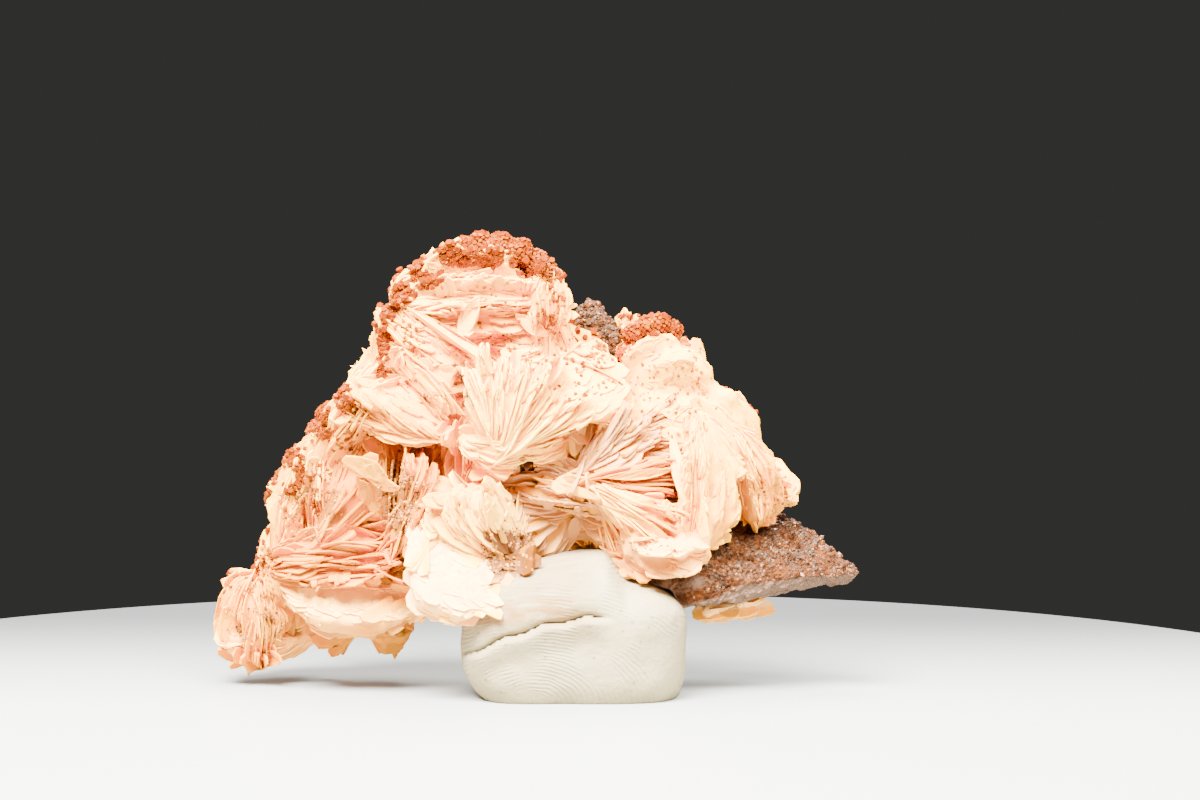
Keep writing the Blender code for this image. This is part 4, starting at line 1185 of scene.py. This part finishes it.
class SPECIMEN_OT_vanadinite(bpy.types.Operator):
    """Builds the crusts of vanadinite and the loose crystals over the barite"""

    bl_idname = "specimen.vanadinite"
    bl_label = "Vanadinite crystals"

    def execute(self, context):
        settings = settings_of("crystals")
        material = vanadinite_finish(settings)
        template = crystal_template()
        surface = Surface("barite_upper", "barite_lower", "barite_back", "barite_core")
        for name in CRUSTS:
            self.crust(name, settings.half_width / MM, surface, template, material)
        self.loose("vanadinite_specks", SPECK_PATCHES, surface, template, material)
        self.loose("vanadinite_grown_side", GROWN_SIDE, surface, template, material)
        return {"FINISHED"}

    def crust(self, name, width, surface, template, material):
        """Small crystals over each clump of a crust, but for those that the next clump would bury."""
        rng = random.Random(name)
        shape = bmesh.new()
        tone = shape.verts.layers.float.new("tone")
        clumps = [(Vector(place[:3]), place[3]) for place in CRUSTS[name]]
        for centre, half in clumps:
            radius = half * CLUMP_CORE
            count = round(4 * math.pi * radius**2 / (width * width * 2.2))
            for n in range(count):
                height = 1 - 2 * (n + 0.5) / count
                turn = n * GOLDEN_ANGLE
                ring = math.sqrt(1 - height * height)
                outward = Vector((ring * math.cos(turn), ring * math.sin(turn), height))
                spot = centre + outward * radius
                others = [clump for clump in clumps if clump[0] is not centre]
                if any((spot - other).length < size * CLUMP_BURIED for other, size in others):
                    continue
                direction = tipped(outward, 0.7, rng)
                size = width * rng.uniform(0.65, 1.2)
                shade = 0.35 + 0.3 * noise.noise(spot / 2.5) + rng.uniform(-0.25, 0.35)
                lay(shape, template, tone, spot, direction, size, shade, rng)
            made = bmesh.ops.create_icosphere(shape, subdivisions=2, radius=radius)
            bmesh.ops.translate(shape, verts=made["verts"], vec=centre)
            for _ in range(STRAY_CRYSTALS):
                way = Vector([rng.gauss(0, 1) for _ in range(3)]).normalized()
                lean = (centre - Vector(BACK_HUB)).normalized() + way * 0.5
                found = surface.meet(centre + way * half * 1.3 + lean * 12, -lean.normalized())
                if found and (found[0] - centre).length < half * 2.3:
                    size = width * rng.uniform(0.5, 1.05)
                    lay(shape, template, tone, found[0], found[1], size, rng.uniform(0.2, 0.9), rng)
        finished_piece(name + "_crystals", shape, material, "vanadinite", name)

    def loose(self, name, patches, surface, template, material):
        """Loose crystals over the barite: the smaller ones are the paler."""
        rng = random.Random(name)
        shape = bmesh.new()
        tone = shape.verts.layers.float.new("tone")
        for patch in patches.values():
            for spot, normal in spots_of(patch, surface, rng):
                direction = tipped(normal, 0.6, rng)
                size = patch.size * rng.uniform(0.6, 1.25)
                paleness = smooth_step(0.46, 0.22, size)
                shade = 0.75 * paleness + rng.uniform(0.05, 0.45)
                lay(shape, template, tone, spot, direction, size, shade, rng)
        finished_piece(name, shape, material, "vanadinite")


class SPECIMEN_OT_rock(bpy.types.Operator):
    """Builds the brown rock and the grit in the hollows"""

    bl_idname = "specimen.rock"
    bl_label = "Rock and grit"

    def execute(self, context):
        settings = settings_of("rock")
        self.rock(settings)
        rng = random.Random("grit")
        shape = bmesh.new()
        tone = shape.verts.layers.float.new("tone")
        templates = [grain_template(rng) for _ in range(GRAIN_TEMPLATES)]
        surface = Surface("barite_upper", "barite_lower", "barite_core")
        for patch in GRIT_PATCHES.values():
            for spot, normal in spots_of(patch, surface, rng):
                size = patch.size * rng.uniform(0.5, 1.5)
                shade = rng.random() ** 0.6 if rng.random() > 0.07 else -0.1
                lay(shape, rng.choice(templates), tone, spot, normal, size, shade, rng)
        finish = grit_finish("grit", settings.grit_dark_colour[:], settings.grit_colour[:])
        finished_piece("grit", shape, finish, "rock")
        shape = bmesh.new()
        tone = shape.verts.layers.float.new("tone")
        surface = Surface("matrix_rock_body")
        for patch in ROCK_PATCHES.values():
            for spot, normal in spots_of(patch, surface, rng):
                direction = tipped(normal, 0.8, rng)
                size = patch.size * (0.35 + rng.random() ** 2)
                shade = rng.random() ** 1.6 * 0.8 + 0.35 * noise.noise(spot / 2.5)
                place = spot - normal * size * 0.4
                lay(shape, rng.choice(templates), tone, place, direction, size, shade, rng)
        finish = grit_finish("rock_grains", settings.dark_colour[:], settings.tan_colour[:])
        finished_piece("matrix_rock_grains", shape, finish, "rock", "matrix_rock")
        return {"FINISHED"}

    def rock(self, settings):
        """The rock's own solid, remeshed finely and roughened."""
        shape = remeshed("matrix_rock", settings.voxel)
        shape.normal_update()
        broken = shape.verts.layers.float.new("broken")
        moves = []
        for vert in shape.verts:
            spot = vert.co.copy()
            under = 0.5 - 2.2 * vert.normal.z + 0.8 * noise.noise(spot / 3.0)
            vert[broken] = min(1.0, max(0.0, under)) if spot.z < 30 else 0.0
            rough = noise.fractal(spot / 2.2, 0.6, 2.2, 4) * 0.55
            knobs = max(0.0, noise.noise(spot / 1.1)) * 0.7 * (1 - vert[broken])
            moves.append(vert.normal * (rough + knobs - 0.35))
        displace(shape, moves)
        finished_piece("matrix_rock_body", shape, rock_finish(settings), "rock", "matrix_rock")


class SPECIMEN_OT_putty(bpy.types.Operator):
    """Builds the lump of putty, creased and printed by fingers"""

    bl_idname = "specimen.putty"
    bl_label = "Putty"

    def execute(self, context):
        shape = bmesh.new()
        bmesh.ops.create_cube(shape, size=2.0)
        bmesh.ops.subdivide_edges(shape, edges=shape.edges, cuts=PUTTY_CUTS, use_grid_fill=True)
        smear = shape.verts.layers.float.new("smear")
        for vert in shape.verts:
            ball = vert.co.normalized()
            place = ball / sum(abs(part) ** PUTTY_SQUARENESS for part in ball) ** (1 / PUTTY_SQUARENESS)
            lift = max(0.0, ball.z) ** 2
            spot = Vector([c + h * k for c, h, k in zip(PUTTY_CENTRE, PUTTY_HALF, place)])
            spot.z += PUTTY_SHOULDER * lift + PUTTY_TILT * ball.x * max(0.0, ball.z)
            spot.x += 2.6 * max(0.0, 1 - spot.z / 9) ** 2 * max(0.0, -ball.x)
            spot += ball * (0.5 * noise.noise(spot / 9.0) + 0.12 * noise.noise(spot / 2.5))
            self.pinch(spot, ball)
            spot.z = max(0.0, spot.z)
            vert.co = spot
            line = smooth_step(3.2, 0.4, abs(spot.z - 15.9 - 0.08 * spot.x))
            vert[smear] = (0.45 + 0.55 * line) * smooth_step(12, 7, spot.x) * smooth_step(10, 13, spot.z)
        shade_smooth(shape)
        finished_piece("putty_lump", shape, putty_finish(settings_of("putty")), "putty", "putty_stand")
        return {"FINISHED"}

    def pinch(self, spot, ball):
        """Folds the flap at the upper left over the rest of the lump, on the side that faces the viewer."""
        front = smooth_step(-8, -15, spot.y)
        line = 10.2 + 0.46 * (spot.x + 6.4) - 0.012 * (spot.x + 6.4) ** 2 + 0.25 * math.sin(spot.x * 0.9)
        over = spot.z - line
        left = front * smooth_step(14, 10, spot.x)
        if over <= 0:
            spot.y -= left * 1.1 * smooth_step(-5, -0.1, over)
        else:
            spot.y += left * 0.5 * smooth_step(2.5, 0, over)
        spot.y += left * 1.3 * smooth_step(0.7, 0, abs(over))
        spot.z -= PUTTY_SAG * smooth_step(*PUTTY_SAG_ACROSS, spot.x) * smooth_step(*PUTTY_SAG_UP, spot.z)


class SPECIMEN_OT_stage(bpy.types.Operator):
    """Builds the pale round table, the soft lights and the camera"""

    bl_idname = "specimen.stage"
    bl_label = "Stage"

    def execute(self, context):
        settings = settings_of("stage")
        self.table(settings)
        self.light("key", (-0.20, -0.34, 0.66), 0.42, settings.key_power)
        self.light("fill", (0.22, -0.36, 0.62), 0.40, settings.fill_power)
        self.light("rim", (0.0, 0.30, 0.70), 0.40, settings.fill_power * 0.6)
        self.world(settings)
        self.camera(settings)
        return {"FINISHED"}

    def table(self, settings):
        shape = bmesh.new()
        bmesh.ops.create_circle(shape, cap_ends=True, segments=128, radius=settings.table_radius)
        sides = bmesh.ops.extrude_face_region(shape, geom=shape.faces[:])
        lower = [item for item in sides["geom"] if isinstance(item, bmesh.types.BMVert)]
        bmesh.ops.translate(shape, verts=lower, vec=(0, 0, -TABLE_THICKNESS))
        bmesh.ops.recalc_face_normals(shape, faces=shape.faces)
        mesh = mesh_of("round_table", shape)
        mesh.materials.append(floor_finish(settings))
        table = bpy.data.objects.new("round_table", mesh)
        bpy.context.scene.collection.objects.link(table)

    def light(self, name, place, size, power):
        lamp = bpy.data.lights.new(name, "AREA")
        lamp.shape = "DISK"
        lamp.size = size
        lamp.energy = power
        obj = bpy.data.objects.new(name, lamp)
        obj.location = place
        obj.rotation_mode = "QUATERNION"
        obj.rotation_quaternion = (Vector(place) - Vector(LIGHTS_AIM)).to_track_quat("Z", "Y")
        bpy.context.scene.collection.objects.link(obj)

    def world(self, settings):
        """Even light from all round, and near black where the camera sees past the table."""
        world = bpy.data.worlds.new("studio")
        world.use_nodes = True
        tree = world.node_tree
        glow = tree.nodes["Background"]
        glow.inputs["Color"].default_value = (1.0, 0.98, 0.95, 1.0)
        glow.inputs["Strength"].default_value = settings.ambient
        dark = tree.nodes.new("ShaderNodeBackground")
        dark.inputs["Color"].default_value = (0.035, 0.035, 0.034, 1.0)
        path = tree.nodes.new("ShaderNodeLightPath")
        choice = tree.nodes.new("ShaderNodeMixShader")
        tree.links.new(path.outputs["Is Camera Ray"], choice.inputs["Fac"])
        tree.links.new(glow.outputs[0], choice.inputs[1])
        tree.links.new(dark.outputs[0], choice.inputs[2])
        tree.links.new(choice.outputs[0], tree.nodes["World Output"].inputs["Surface"])
        bpy.context.scene.world = world

    def camera(self, settings):
        data = bpy.data.cameras.new("camera")
        data.lens = settings.lens
        data.sensor_width = 36
        data.clip_start = 0.01
        camera = bpy.data.objects.new("camera", data)
        camera.location = settings.camera_place
        camera.rotation_euler = (math.pi / 2 - settings.camera_dip, 0, 0)
        bpy.context.scene.collection.objects.link(camera)
        bpy.context.scene.camera = camera


class SPECIMEN_PT_panel(bpy.types.Panel):
    """Lists the specimen's settings and the buttons that build it"""

    bl_label = "Specimen"
    bl_idname = "SPECIMEN_PT_panel"
    bl_space_type = "VIEW_3D"
    bl_region_type = "UI"
    bl_category = "Specimen"

    def draw(self, context):
        for name in GROUPS:
            box = self.layout.box()
            settings = settings_of(name)
            for prop in settings.bl_rna.properties:
                if prop.identifier not in ("rna_type", "name"):
                    box.prop(settings, prop.identifier)
        for operator in OPERATORS:
            self.layout.operator(operator.bl_idname)


GROUPS = {
    "blades": BladeSettings,
    "crystals": CrystalSettings,
    "rock": RockSettings,
    "putty": PuttySettings,
    "stage": StageSettings,
}
OPERATORS = (
    SPECIMEN_OT_stage,
    SPECIMEN_OT_barite,
    SPECIMEN_OT_vanadinite,
    SPECIMEN_OT_rock,
    SPECIMEN_OT_putty,
)


def register():
    for cls in (*GROUPS.values(), *OPERATORS, SPECIMEN_PT_panel):
        bpy.utils.register_class(cls)
    for name, group in GROUPS.items():
        setattr(bpy.types.Scene, "specimen_" + name, bpy.props.PointerProperty(type=group))


def unregister():
    for name in GROUPS:
        delattr(bpy.types.Scene, "specimen_" + name)
    for cls in (SPECIMEN_PT_panel, *OPERATORS, *GROUPS.values()):
        bpy.utils.unregister_class(cls)


def main():
    register()
    bpy.ops.specimen.stage()
    bpy.ops.specimen.barite()
    bpy.ops.specimen.vanadinite()
    bpy.ops.specimen.rock()
    bpy.ops.specimen.putty()
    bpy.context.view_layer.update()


if __name__ == "__main__":
    main()
